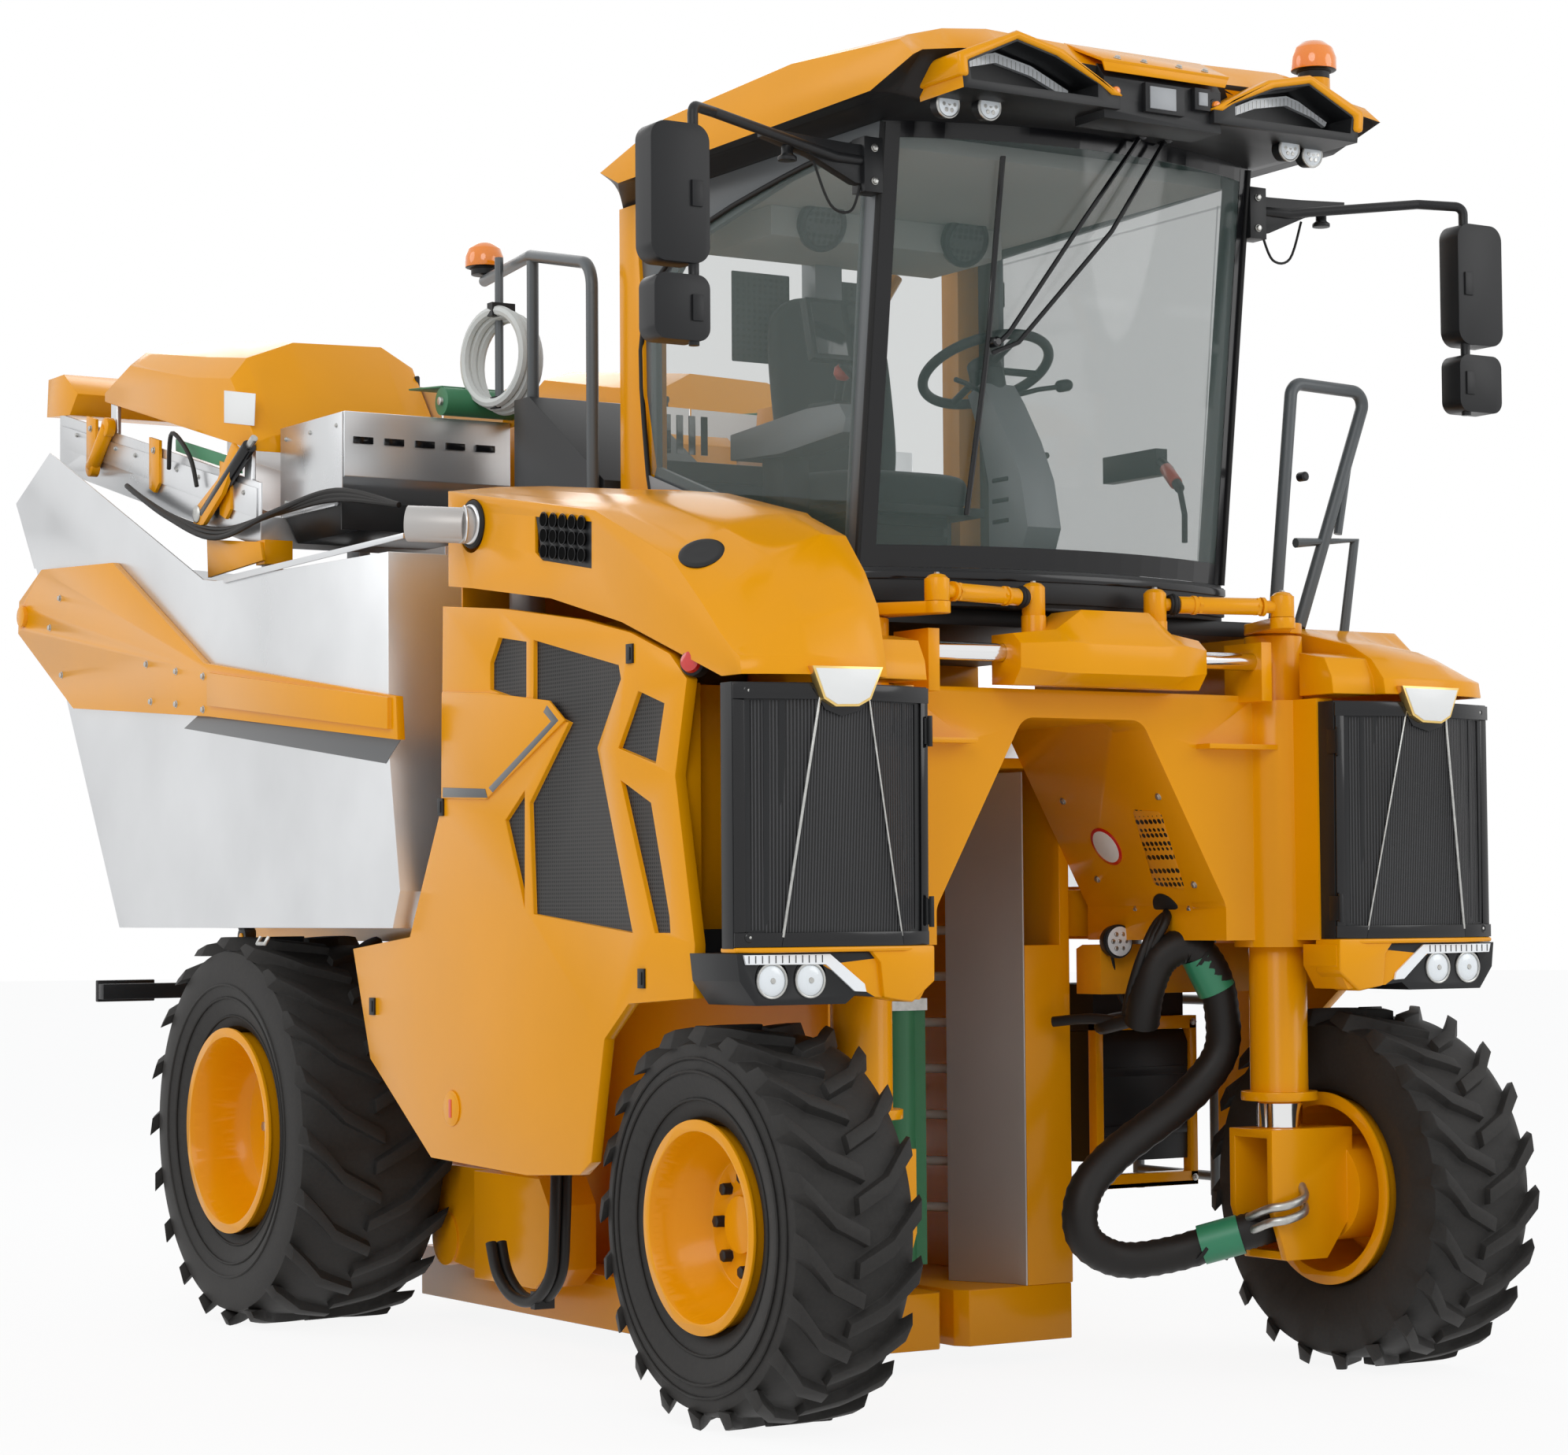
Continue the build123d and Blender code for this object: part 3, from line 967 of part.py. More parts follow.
# Bins: open boxes with a raised outer plate at the rear and a rolled rim
BIN_TOP_LINE = [
    (BIN_FRONT_Y, BIN_FRONT_TOP), (BIN_NOTCH_Y, BIN_NOTCH_Z), (BIN_REAR_TOP_Y, BIN_REAR_TOP)]
BIN_OUTLINE = [
    (BIN_FRONT_Y, BIN_FRONT_TOP), (BIN_FRONT_Y, BIN_FOLD_Z), (BIN_TOE_Y, BIN_TOE_Z),
    (BIN_TOE_Y + BIN_TOE_RUN, BIN_BOTTOM), (BIN_REAR_LOW_Y, BIN_BOTTOM), (BIN_REAR_TOP_Y, BIN_REAR_TOP),
    (BIN_NOTCH_Y, BIN_NOTCH_Z)]
BIN_HOLLOW = [
    (BIN_FRONT_Y + BIN_T, BIN_FRONT_TOP + 50), (BIN_FRONT_Y + BIN_T, BIN_FOLD_Z), (BIN_TOE_Y + BIN_T, BIN_TOE_Z),
    (BIN_TOE_Y + BIN_TOE_RUN + BIN_T, BIN_BOTTOM + BIN_T), (BIN_REAR_LOW_Y - BIN_T, BIN_BOTTOM + BIN_T),
    (BIN_REAR_TOP_Y + 30, BIN_REAR_TOP + 57), (BIN_NOTCH_Y, BIN_NOTCH_Z + 50)]
RAISED_PLATE = [
    (BIN_NOTCH_Y, BIN_NOTCH_Z - 30), (PLATE_APEX_Y, PLATE_APEX_Z), (PLATE_TAIL_Y, PLATE_TAIL_Z),
    (BIN_REAR_TOP_Y, BIN_REAR_TOP - 30)]
RIM_STRIP = BIN_TOP_LINE + [(p, z - 3 * BIN_T) for p, z in reversed(BIN_TOP_LINE)]
with BuildPart() as bin_shell:
    side_prism(BIN_IN_X, BIN_OUT_X, BIN_OUTLINE)
    side_prism(BIN_IN_X + BIN_T, BIN_OUT_X - BIN_T, BIN_HOLLOW, mode=Mode.SUBTRACT)
    side_prism(BIN_OUT_X - BIN_T, BIN_OUT_X, RAISED_PLATE)
    side_prism(BIN_OUT_X - BIN_RIM_W, BIN_OUT_X, RIM_STRIP)
    rod((CYL_X + CYL_EYE_R - 4, back(CYL_EYE_Y), CYL_EYE_Z), (BIN_IN_X + BIN_T, back(CYL_EYE_Y), CYL_EYE_Z),
        CYL_EYE_R)
save_pair(bin_shell, "bin")

# Tipping arms on the outer sides of the bins, with a raised ridge at the front
ARM_OUTLINE = [
    (1560, 1847), (1573, 1977), (3010, 2163), (3816, 2566), (4508, 2600), (HINGE_Y + 50, HINGE_Z + 60),
    (HINGE_Y + 60, HINGE_Z - 60), (4189, 2074), (2969, 1985)]
ARM_RIDGE = [(1600, 1975), (2950, 2128), (2950, 2020), (1600, 1880)]
ARM_IN_X = BIN_OUT_X + GAP
with BuildPart() as bin_arm:
    side_prism(ARM_IN_X, BIN_OUT_X + ARM_T, ARM_OUTLINE)
    side_prism(BIN_OUT_X + ARM_T, BIN_OUT_X + ARM_T + ARM_RIDGE_T, ARM_RIDGE)
    rod((BIN_OUT_X, back(HINGE_Y), HINGE_Z), (BIN_OUT_X + ARM_T + ARM_RIDGE_T, back(HINGE_Y), HINGE_Z),
        HINGE_R + 0.5, mode=Mode.SUBTRACT)
save_pair(bin_arm, "bin_arm")

# Tipping cylinders
FOOT = (CYL_X, back(CYL_FOOT_Y), CYL_FOOT_Z)
EYE = (CYL_X, back(CYL_EYE_Y), CYL_EYE_Z)
CYL_RUN = Vector(*EYE) - Vector(*FOOT)
CYL_WAY = CYL_RUN.normalized()
BARREL_END = CYL_RUN.length - 70


def along(distance):
    """Point on the tipping cylinder's axis, this far from its foot."""
    point = Vector(*FOOT) + CYL_WAY * distance
    return (point.X, point.Y, point.Z)


with BuildPart() as barrel:
    rod(along(CYL_R), along(BARREL_END), CYL_R)
    rod(along(CYL_R - 10), along(BARREL_END + 10), CYL_ROD_R + 1, mode=Mode.SUBTRACT)
    rod((CYL_X - 22, FOOT[1], FOOT[2]), (CYL_X + 22, FOOT[1], FOOT[2]), CYL_R + 6)
    rod((CYL_X - 23, FOOT[1], FOOT[2]), (CYL_X + 23, FOOT[1], FOOT[2]), CYL_PIN_R + 0.5,
        mode=Mode.SUBTRACT)
save_pair(barrel, "tip_barrel")

with BuildPart() as piston:
    rod(along(2 * CYL_R), along(CYL_RUN.length - 20), CYL_ROD_R)
    rod((CYL_X - 20, EYE[1], EYE[2]), (CYL_X + 20, EYE[1], EYE[2]), CYL_EYE_R)
save_pair(piston, "tip_rod")


# Sorting tables, carried by the bins, each with a hopper box at its front end
def table_rim(distance):
    """Height of a sorting table's rim at this distance behind the front axle."""
    return SORT_RIM_Z + SORT_SLOPE * (distance - SORT_FRONT_Y)


def table_floor(distance):
    """Height of the underside of a sorting table."""
    return table_rim(distance) - SORT_H


FRONT_POST_Y = 2895
REAR_POST_Y = 3600
POST_IN_X = BIN_IN_X + BIN_T + GAP
HOPPER = [
    (HOPPER_FRONT_Y, HOPPER_BOTTOM + 90), (HOPPER_FRONT_Y, HOPPER_TOP), (SORT_FRONT_Y + SORT_T, HOPPER_TOP),
    (SORT_FRONT_Y + SORT_T, HOPPER_BOTTOM), (HOPPER_FRONT_Y + 75, HOPPER_BOTTOM)]
HOPPER_HOLLOW = [
    (HOPPER_FRONT_Y + SORT_T, HOPPER_BOTTOM + 90), (HOPPER_FRONT_Y + SORT_T, HOPPER_TOP + 1),
    (SORT_FRONT_Y, HOPPER_TOP + 1), (SORT_FRONT_Y, HOPPER_BOTTOM + SORT_T),
    (HOPPER_FRONT_Y + 80, HOPPER_BOTTOM + SORT_T)]
with BuildPart() as sorter:
    side_prism(SORT_IN_X, SORT_OUT_X, [
        (SORT_FRONT_Y, table_floor(SORT_FRONT_Y)), (SORT_FRONT_Y, table_rim(SORT_FRONT_Y)),
        (SORT_REAR_Y, table_rim(SORT_REAR_Y)), (SORT_REAR_Y, table_floor(SORT_REAR_Y))])
    side_prism(SORT_IN_X + SORT_T, SORT_OUT_X - SORT_T, [
        (SORT_FRONT_Y - 1, table_floor(SORT_FRONT_Y) + SORT_H / 2),
        (SORT_FRONT_Y - 1, table_rim(SORT_FRONT_Y) + 20), (SORT_REAR_Y + 1, table_rim(SORT_REAR_Y) + 20),
        (SORT_REAR_Y + 1, table_floor(SORT_REAR_Y) + SORT_H / 2)], mode=Mode.SUBTRACT)
    side_prism(SORT_IN_X, HOPPER_OUT_X, HOPPER)
    side_prism(SORT_IN_X + SORT_T, HOPPER_OUT_X - SORT_T, HOPPER_HOLLOW, mode=Mode.SUBTRACT)
    for post_y, sunk in ((FRONT_POST_Y, 90), (REAR_POST_Y, 70)):
        side_prism(POST_IN_X, POST_IN_X + 40, [
            (post_y, BIN_NOTCH_Z - sunk), (post_y, table_floor(post_y) + 4),
            (post_y + 100, table_floor(post_y + 100) + 4), (post_y + 100, BIN_NOTCH_Z - sunk)])
    for post_y in (LID_FRONT_Y + 40, LID_REAR_Y - 120):
        side_prism(SORT_OUT_X - 2 * SORT_T, SORT_OUT_X, [
            (post_y, table_rim(post_y) - 20), (post_y, table_rim(post_y) + LID_LIFT - GAP),
            (post_y + 60, table_rim(post_y + 60) + LID_LIFT - GAP), (post_y + 60, table_rim(post_y + 60) - 20)])
save_pair(sorter, "sorting_table")

# Lids. Columns: X, then the height above the lid's foot at its front, middle and rear
LID_RUN = LID_REAR_Y - LID_FRONT_Y
LID_SECTIONS = ((SORT_IN_X, 150, LID_INNER_H, 150), (SORT_IN_X + 120, 215, 300, 190),
                (SORT_OUT_X - 230, 190, 290, 180), (SORT_OUT_X - 60, 110, 225, 130),
                (SORT_OUT_X, 60, LID_OUTER_H, 80))


def lid_outline(front_h, middle_h, rear_h, foot, shrink):
    """Side outline of a lid: its foot follows the table's slope."""
    front, rear = LID_FRONT_Y + shrink, LID_REAR_Y - shrink
    base = table_rim(front) + LID_LIFT
    end = table_rim(rear) + LID_LIFT
    middle = front + 0.42 * LID_RUN
    crest = table_rim(middle) + LID_LIFT + middle_h - shrink
    return [
        (front, base - foot), (front, base + front_h * 0.5), (front + 0.16 * LID_RUN, crest - 20),
        (middle, crest + 30), (rear - 0.18 * LID_RUN, end + rear_h - shrink + 20), (rear, end + rear_h * 0.4),
        (rear, end - foot)]


with BuildPart() as lid:
    side_loft([(x, lid_outline(*heights, 0, 0)) for x, *heights in LID_SECTIONS])
    side_loft([(min(max(x, SORT_IN_X + WALL_T), SORT_OUT_X - WALL_T), lid_outline(*heights, 1, WALL_T))
               for x, *heights in LID_SECTIONS], mode=Mode.SUBTRACT)
save_pair(lid, "sorter_lid")

# Picking head
with BuildPart() as head_wall:
    block(HEAD_WALL_IN, HEAD_WALL_IN + HEAD_WALL_T, back(HEAD_FRONT_Y), back(HEAD_REAR_Y),
          FOOT_TOP + GAP, HEAD_WALL_TOP - GAP)
    block(HEAD_WALL_IN - HEAD_POST_W, HEAD_WALL_IN + HEAD_WALL_T, back(HEAD_FRONT_Y), back(HEAD_FRONT_Y) + 60,
          FOOT_TOP + GAP, HEAD_POST_TOP)
    for hanger_y in (HEAD_FRONT_Y + 40, HEAD_REAR_Y - 200):
        block(HEAD_WALL_IN + HEAD_WALL_T, BEAM_IN_X - GAP, back(hanger_y), back(hanger_y) + 120,
              BEAM_BOTTOM + 10, BEAM_TOP - 10)
    mirror(about=Plane.YZ)
save(head_wall.part, "head_walls")

with BuildPart() as head_roof:
    block(-HEAD_WALL_IN - HEAD_WALL_T, HEAD_WALL_IN + HEAD_WALL_T, back(HEAD_FRONT_Y),
          back(HEAD_REAR_Y), HEAD_WALL_TOP, HEAD_WALL_TOP + 30)
save(head_roof.part, "head_roof")

with BuildPart() as foot_conveyor:
    top_prism(FOOT_BOTTOM, FOOT_TOP, [
        (FOOT_IN_X, HEAD_FRONT_Y + 40), (FOOT_IN_X + 30, HEAD_FRONT_Y), (FOOT_NOSE_X, HEAD_FRONT_Y),
        (FOOT_NOSE_X, FOOT_NOSE_Y), (FOOT_OUT_X, FOOT_NOSE_Y + 150), (FOOT_OUT_X, HEAD_REAR_Y),
        (FOOT_IN_X, HEAD_REAR_Y)])
    mirror(about=Plane.YZ)
save(foot_conveyor.part, "foot_conveyors")

ELEVATOR_FRONT = HEAD_REAR_Y + GAP
with BuildPart() as elevator:
    side_prism(ELEVATOR_IN_X, ELEVATOR_OUT_X, [
        (ELEVATOR_FRONT, FOOT_BOTTOM), (ELEVATOR_FRONT, ELEVATOR_TOP - 210), (ELEVATOR_HEAD_Y + 60, ELEVATOR_TOP - 230),
        (ELEVATOR_HEAD_Y, ELEVATOR_TOP - 170), (ELEVATOR_HEAD_Y, ELEVATOR_TOP - 40),
        (ELEVATOR_HEAD_Y + 60, ELEVATOR_TOP), (ELEVATOR_FRONT + ELEVATOR_D - 90, ELEVATOR_TOP),
        (ELEVATOR_FRONT + ELEVATOR_D, ELEVATOR_TOP - 120), (ELEVATOR_FRONT + ELEVATOR_D, FOOT_BOTTOM)])
    mirror(about=Plane.YZ)
save(elevator.part, "elevators")

PLATE_SEAT_X = HEAD_WALL_IN - HEAD_POST_W - GAP
PLATE_BEND_Y = HEAD_FRONT_Y + 60
with BuildPart() as entry_plate:
    top_prism(FOOT_TOP + GAP, PLATE_TOP, [
        (PLATE_SEAT_X - PLATE_T, HEAD_FRONT_Y), (PLATE_SEAT_X, HEAD_FRONT_Y), (PLATE_SEAT_X, PLATE_BEND_Y),
        (PLATE_FAR_X + PLATE_T, HEAD_FRONT_Y + PLATE_RUN), (PLATE_FAR_X, HEAD_FRONT_Y + PLATE_RUN),
        (PLATE_SEAT_X - PLATE_T, PLATE_BEND_Y)])
    mirror(about=Plane.YZ)
save(entry_plate.part, "entry_plates")

ROD_END_X = SHAKER_X - 20
with BuildPart() as shaker:
    rod((SHAKER_X, back(SHAKER_Y), FOOT_TOP + GAP),
        (SHAKER_X, back(SHAKER_Y), HEAD_WALL_TOP - GAP), SHAKER_R)
    for index in range(ROD_COUNT):
        level = ROD_FIRST_Z + ROD_PITCH * index
        with BuildLine():
            bow = ThreePointArc(
                (SHAKER_X, back(SHAKER_Y), level),
                (ROD_REACH_X, back(SHAKER_Y + ROD_SPAN / 2), level),
                (ROD_END_X, back(SHAKER_Y + ROD_SPAN), level))
        with BuildSketch(Plane(origin=bow @ 0, z_dir=bow % 0)):
            Circle(ROD_R)
        sweep(path=bow)
save_pair(shaker, "shaker")

# Handrails on the left deck and behind the cab, and the ladder to the left deck
DECK_SEAT = LEFT_DECK_Z + GAP
PLATFORM_SEAT = PLATFORM_Z + PLATFORM_T + GAP
with BuildPart() as rails:
    tube_path([(810, back(100), DECK_SEAT + 2), (890, back(100), 2880), (1180, back(100), 2870),
               (905, back(100), DECK_SEAT + 7)], 40, RAIL_R)
    tube_path([(-702, back(1480), PLATFORM_SEAT), (-702, back(1480), 3310), (-640, back(1990), 3420),
               (-REAR_BEACON_X, back(REAR_BEACON_Y), REAR_BEACON_Z)], 90, RAIL_R)
    rod((-640, back(1976), FAN_BOX_TOP + GAP), (-640, back(1976), 3400), RAIL_R)
    for stile_y in (LADDER_Y, LADDER_Y + LADDER_W):
        rod((LADDER_X, back(stile_y), LADDER_LOW), (LADDER_X, back(stile_y), HOOD_LOW_Z - GAP), RAIL_R)
    for step in range(RUNG_COUNT):
        rung_z = LADDER_LOW + 60 + step * (HOOD_LOW_Z - LADDER_LOW - 120) / (RUNG_COUNT - 1)
        rod((LADDER_X, back(LADDER_Y), rung_z), (LADDER_X, back(LADDER_Y + LADDER_W), rung_z), RAIL_R * 0.8)
save(rails.part, "rails_and_ladder")

# Mirrors
ARM_ROOT = (CAB_HALF + GAP, back(3), 3355)
MIRROR_FACE_Y = MIRROR_ROD_Y - 18
with BuildPart() as mirrors:
    tube_path([ARM_ROOT, (791, back(-16), 3355), (1221, back(-94), 3412),
               (MIRROR_ROD_X, back(MIRROR_ROD_Y), 3401), (MIRROR_ROD_X, back(MIRROR_ROD_Y), 2780)],
              25, MIRROR_ROD_R)
    with BuildSketch(front_plane(back(MIRROR_FACE_Y) + 80)) as faces:
        with Locations((1376, 3170)):
            RectangleRounded(174, 360, 45)
        with Locations((1372, 2875)):
            RectangleRounded(165, 170, 35)
    extrude(faces.sketch, amount=80)
    mirror(about=Plane.YZ)
save(mirrors.part, "mirrors")


# Beacons
def beacon(x, y, z):
    """Amber dome on a round foot."""
    with BuildSketch(front_plane(y)) as half:
        with BuildLine():
            Polyline((x, z), (x + 45, z), (x + 45, z + 22), (x + BEACON_R, z + 26), (x + BEACON_R, z + 62),
                     (x + 55, z + 90), (x + 32, z + 108), (x, z + 115), close=True)
        make_face()
    revolve(half.sketch, axis=Axis((x, y, z), (0, 0, 1)))


with BuildPart() as beacons:
    beacon(BEACON_X, back(BEACON_Y), BEACON_PAD_TOP + GAP)
    beacon(-REAR_BEACON_X, back(REAR_BEACON_Y), REAR_BEACON_Z + RAIL_R + GAP)
save(beacons.part, "beacons")
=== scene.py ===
import json
import math

import bmesh
import bpy
from mathutils import Matrix, Vector


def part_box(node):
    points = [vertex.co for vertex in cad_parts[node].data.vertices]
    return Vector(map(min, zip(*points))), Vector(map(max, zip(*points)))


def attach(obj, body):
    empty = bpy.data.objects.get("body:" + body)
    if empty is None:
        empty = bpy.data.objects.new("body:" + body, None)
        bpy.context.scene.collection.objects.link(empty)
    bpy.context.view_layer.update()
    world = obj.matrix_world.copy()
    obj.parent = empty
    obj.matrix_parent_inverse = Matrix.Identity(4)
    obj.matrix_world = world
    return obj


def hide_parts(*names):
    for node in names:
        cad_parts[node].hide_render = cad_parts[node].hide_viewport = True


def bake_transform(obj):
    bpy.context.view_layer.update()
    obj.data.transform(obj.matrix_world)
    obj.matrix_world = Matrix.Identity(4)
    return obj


# Straddle grape harvester: the look that the photo shows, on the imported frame.
# Tables are in millimetres: X, distance behind the front axle, Z. at() turns a row into metres.

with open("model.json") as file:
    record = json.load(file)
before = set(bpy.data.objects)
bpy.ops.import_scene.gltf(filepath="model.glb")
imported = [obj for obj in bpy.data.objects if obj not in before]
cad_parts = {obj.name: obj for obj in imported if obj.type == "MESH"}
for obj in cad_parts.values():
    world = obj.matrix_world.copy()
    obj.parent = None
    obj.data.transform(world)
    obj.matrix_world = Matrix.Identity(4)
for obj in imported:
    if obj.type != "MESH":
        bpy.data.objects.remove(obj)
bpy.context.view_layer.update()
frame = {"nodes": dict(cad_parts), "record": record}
scene = bpy.context.scene
NODES = frame["nodes"]
MM = 0.001
AXLE_Y = -2165
SIDES = ((1, "left"), (-1, "right"))

# Camera, from the photo's solved view
CAMERA_AT = Vector((-5.9718, -10.1058, 1.3456))
YAW = math.radians(32.2776)
PITCH = math.radians(2.880)
ROLL = math.radians(-0.4296)
FOCAL_MM = 81.79
SENSOR_MM = 36.0


def place_camera():
    """Camera that looks along the solved yaw and pitch, with its small roll."""
    ahead = Vector((math.sin(YAW) * math.cos(PITCH), math.cos(YAW) * math.cos(PITCH), math.sin(PITCH)))
    right = Vector((math.cos(YAW), -math.sin(YAW), 0.0))
    up = right.cross(ahead)
    rolled_right = right * math.cos(ROLL) + up * math.sin(ROLL)
    rolled_up = up * math.cos(ROLL) - right * math.sin(ROLL)
    data = bpy.data.cameras.new("camera")
    data.lens = FOCAL_MM
    data.sensor_width = SENSOR_MM
    data.sensor_fit = "HORIZONTAL"
    data.clip_end = 200.0
    camera = bpy.data.objects.new("camera", data)
    scene.collection.objects.link(camera)
    turn = Matrix((rolled_right, rolled_up, -ahead)).transposed()
    camera.matrix_world = Matrix.Translation(CAMERA_AT) @ turn.to_4x4()
    scene.camera = camera


place_camera()


def add_object(name, bm, tones=()):
    """Turns shapes into an object in the scene, with its materials."""
    mesh = bpy.data.meshes.new(name)
    bm.to_mesh(mesh)
    bm.free()
    for tone in tones:
        mesh.materials.append(tone)
    obj = bpy.data.objects.new(name, mesh)
    scene.collection.objects.link(obj)
    return obj


# Shader nodes
def new_node(tree, kind, values=None):
    """Adds a node and sets the values of its sockets."""
    node = tree.nodes.new(kind)
    for socket, value in (values or {}).items():
        node.inputs[socket].default_value = value
    return node


def math_node(tree, operation, first, second):
    """Output of an operation on two inputs, each a socket or a number."""
    node = tree.nodes.new("ShaderNodeMath")
    node.operation = operation
    for index, source in enumerate((first, second)):
        if isinstance(source, float):
            node.inputs[index].default_value = source
        else:
            tree.links.new(source, node.inputs[index])
    return node.outputs[0]


def mix_shaders(tree, share, first, second, out):
    """Sends two shaders, mixed by a share, to the output node."""
    mix = new_node(tree, "ShaderNodeMixShader")
    tree.links.new(share, mix.inputs["Fac"])
    tree.links.new(first.outputs[0], mix.inputs[1])
    tree.links.new(second.outputs[0], mix.inputs[2])
    tree.links.new(mix.outputs[0], out.inputs["Surface"])


# White surroundings, pale floor and soft studio light
def camera_rays(tree):
    """1 for rays from the camera, glossy reflections and see-through rays, else 0."""
    path = new_node(tree, "ShaderNodeLightPath")
    seen = math_node(tree, "MAXIMUM", path.outputs["Is Camera Ray"], path.outputs["Is Glossy Ray"])
    return math_node(tree, "MAXIMUM", seen, path.outputs["Is Transmission Ray"])


def world_light():
    """White to the eye, with a softer light on the object."""
    world = bpy.data.worlds.new("studio")
    scene.world = world
    world.use_nodes = True
    tree = world.node_tree
    tree.nodes.clear()
    out = new_node(tree, "ShaderNodeOutputWorld")
    soft = new_node(tree, "ShaderNodeBackground", {"Color": (0.93, 0.96, 1.0, 1.0), "Strength": 0.74})
    seen = new_node(tree, "ShaderNodeBackground", {"Color": (1.0, 1.0, 1.0, 1.0)})
    mix_shaders(tree, camera_rays(tree), soft, seen, out)


FLOOR_RADIUS = 60.0
FLOOR_GLOW = 0.9


def floor():
    """Wide pale floor that keeps the object's shadow."""
    bm = bmesh.new()
    bmesh.ops.create_circle(bm, cap_ends=True, segments=64, radius=FLOOR_RADIUS)
    mat = bpy.data.materials.new("floor")
    mat.use_nodes = True
    tree = mat.node_tree
    base = tree.nodes["Principled BSDF"]
    base.inputs["Base Color"].default_value = (0.85, 0.85, 0.85, 1.0)
    base.inputs["Roughness"].default_value = 0.9
    glow = new_node(tree, "ShaderNodeEmission")
    share = math_node(tree, "MULTIPLY", camera_rays(tree), FLOOR_GLOW)
    mix_shaders(tree, share, base, glow, tree.nodes["Material Output"])
    add_object("floor", bm, [mat])


# Columns: place in metres, point it looks at, size, watts
LAMPS = (
    ((-7.0, -9.0, 7.5), (0, -0.5, 1.6), 6.0, 260),
    ((5.5, -8.0, 5.0), (0, -1.0, 1.5), 5.0, 130),
    ((-7.5, 3.0, 6.0), (-0.5, 0.5, 1.6), 5.0, 110),
    ((2.0, 7.0, 7.0), (0, 1.0, 1.6), 5.0, 100))


def studio_lamps():
    """Large soft lamps round the object."""
    for index, (place, target, size, watts) in enumerate(LAMPS):
        data = bpy.data.lights.new(f"soft_{index}", "AREA")
        data.shape = "DISK"
        data.size = size
        data.energy = watts
        lamp = bpy.data.objects.new(f"soft_{index}", data)
        scene.collection.objects.link(lamp)
        lamp.location = place
        way = Vector(target) - Vector(place)
        lamp.rotation_euler = way.to_track_quat("-Z", "Y").to_euler()


world_light()
floor()
studio_lamps()
scene.view_settings.view_transform = "Standard"


# Materials
def mix_colors(tree, share, first, second):
    """Mixes a linked colour with a plain one, by a linked share."""
    mix = tree.nodes.new("ShaderNodeMix")
    mix.data_type = "RGBA"
    mix.inputs["B"].default_value = (*second, 1.0)
    tree.links.new(share, mix.inputs["Factor"])
    tree.links.new(first, mix.inputs["A"])
    return mix.outputs["Result"]


def relief(tree, height, strength, distance, inverted=False):
    """Bump on the surface from a linked height."""
    bumps = new_node(tree, "ShaderNodeBump", {"Strength": strength, "Distance": distance})
    bumps.invert = inverted
    tree.links.new(height, bumps.inputs["Height"])
    tree.links.new(bumps.outputs["Normal"], tree.nodes["Principled BSDF"].inputs["Normal"])


def material(name, color, rough, metal=0.0, coat=0.0, tint=0.08, grain=180.0, bump=0.04, patch=1.6,
             dirt=0.0, sheen=0.0, alpha=1.0, specular=0.5, brush=(1.0, 1.0, 1.0), rough_span=0.06):
    """Surface with broad and fine colour variation, an uneven gloss and a fine bump."""
    mat = bpy.data.materials.new(name)
    mat.use_nodes = True
    tree = mat.node_tree
    links = tree.links
    base = tree.nodes["Principled BSDF"]
    for socket, value in (("Metallic", metal), ("Coat Weight", coat), ("Coat Roughness", 0.06),
                          ("Sheen Weight", sheen), ("Specular IOR Level", specular), ("Alpha", alpha)):
        base.inputs[socket].default_value = value
    place = new_node(tree, "ShaderNodeTexCoord")
    stretch = new_node(tree, "ShaderNodeMapping", {"Scale": brush})
    broad = new_node(tree, "ShaderNodeTexNoise", {"Scale": patch, "Detail": 5.0})
    fine = new_node(tree, "ShaderNodeTexNoise", {"Scale": grain, "Detail": 3.0})
    links.new(place.outputs["Object"], stretch.inputs["Vector"])
    links.new(place.outputs["Object"], broad.inputs["Vector"])
    links.new(stretch.outputs["Vector"], fine.inputs["Vector"])
    ramp = new_node(tree, "ShaderNodeValToRGB")
    low, high = ramp.color_ramp.elements
    low.position = 0.3
    high.position = 0.7
    low.color = (*(c * (1.0 - tint) for c in color), 1.0)
    high.color = (*(min(1.0, c * (1.0 + 0.5 * tint)) for c in color), 1.0)
    links.new(broad.outputs["Fac"], ramp.inputs["Fac"])
    last = ramp.outputs["Color"]
    if dirt:
        share = math_node(tree, "MULTIPLY", fine.outputs["Fac"], dirt)
        last = mix_colors(tree, share, last, (0.17, 0.15, 0.12))
    links.new(last, base.inputs["Base Color"])
    gloss = new_node(tree, "ShaderNodeMapRange", {"To Min": max(0.02, rough - rough_span),
                                                  "To Max": min(1.0, rough + rough_span)})
    links.new(broad.outputs["Fac"], gloss.inputs["Value"])
    links.new(gloss.outputs["Result"], base.inputs["Roughness"])
    relief(tree, fine.outputs["Fac"], bump, 0.002)
    return mat


def overlay(mat, share, dark):
    """Lays a dark colour over a material's own, by a linked share."""
    socket = mat.node_tree.nodes["Principled BSDF"].inputs["Base Color"]
    mat.node_tree.links.new(mix_colors(mat.node_tree, share, socket.links[0].from_socket, dark), socket)


def lined(mat, axis, pitch, dark, strength):
    """Adds fine straight lines across a material, in colour and relief."""
    tree = mat.node_tree
    place = new_node(tree, "ShaderNodeTexCoord")
    wave = new_node(tree, "ShaderNodeTexWave", {"Scale": 0.314 / pitch})
    wave.bands_direction = axis
    tree.links.new(place.outputs["Object"], wave.inputs["Vector"])
    overlay(mat, wave.outputs["Fac"], dark)
    relief(tree, wave.outputs["Fac"], strength, 0.004, inverted=True)
    return mat


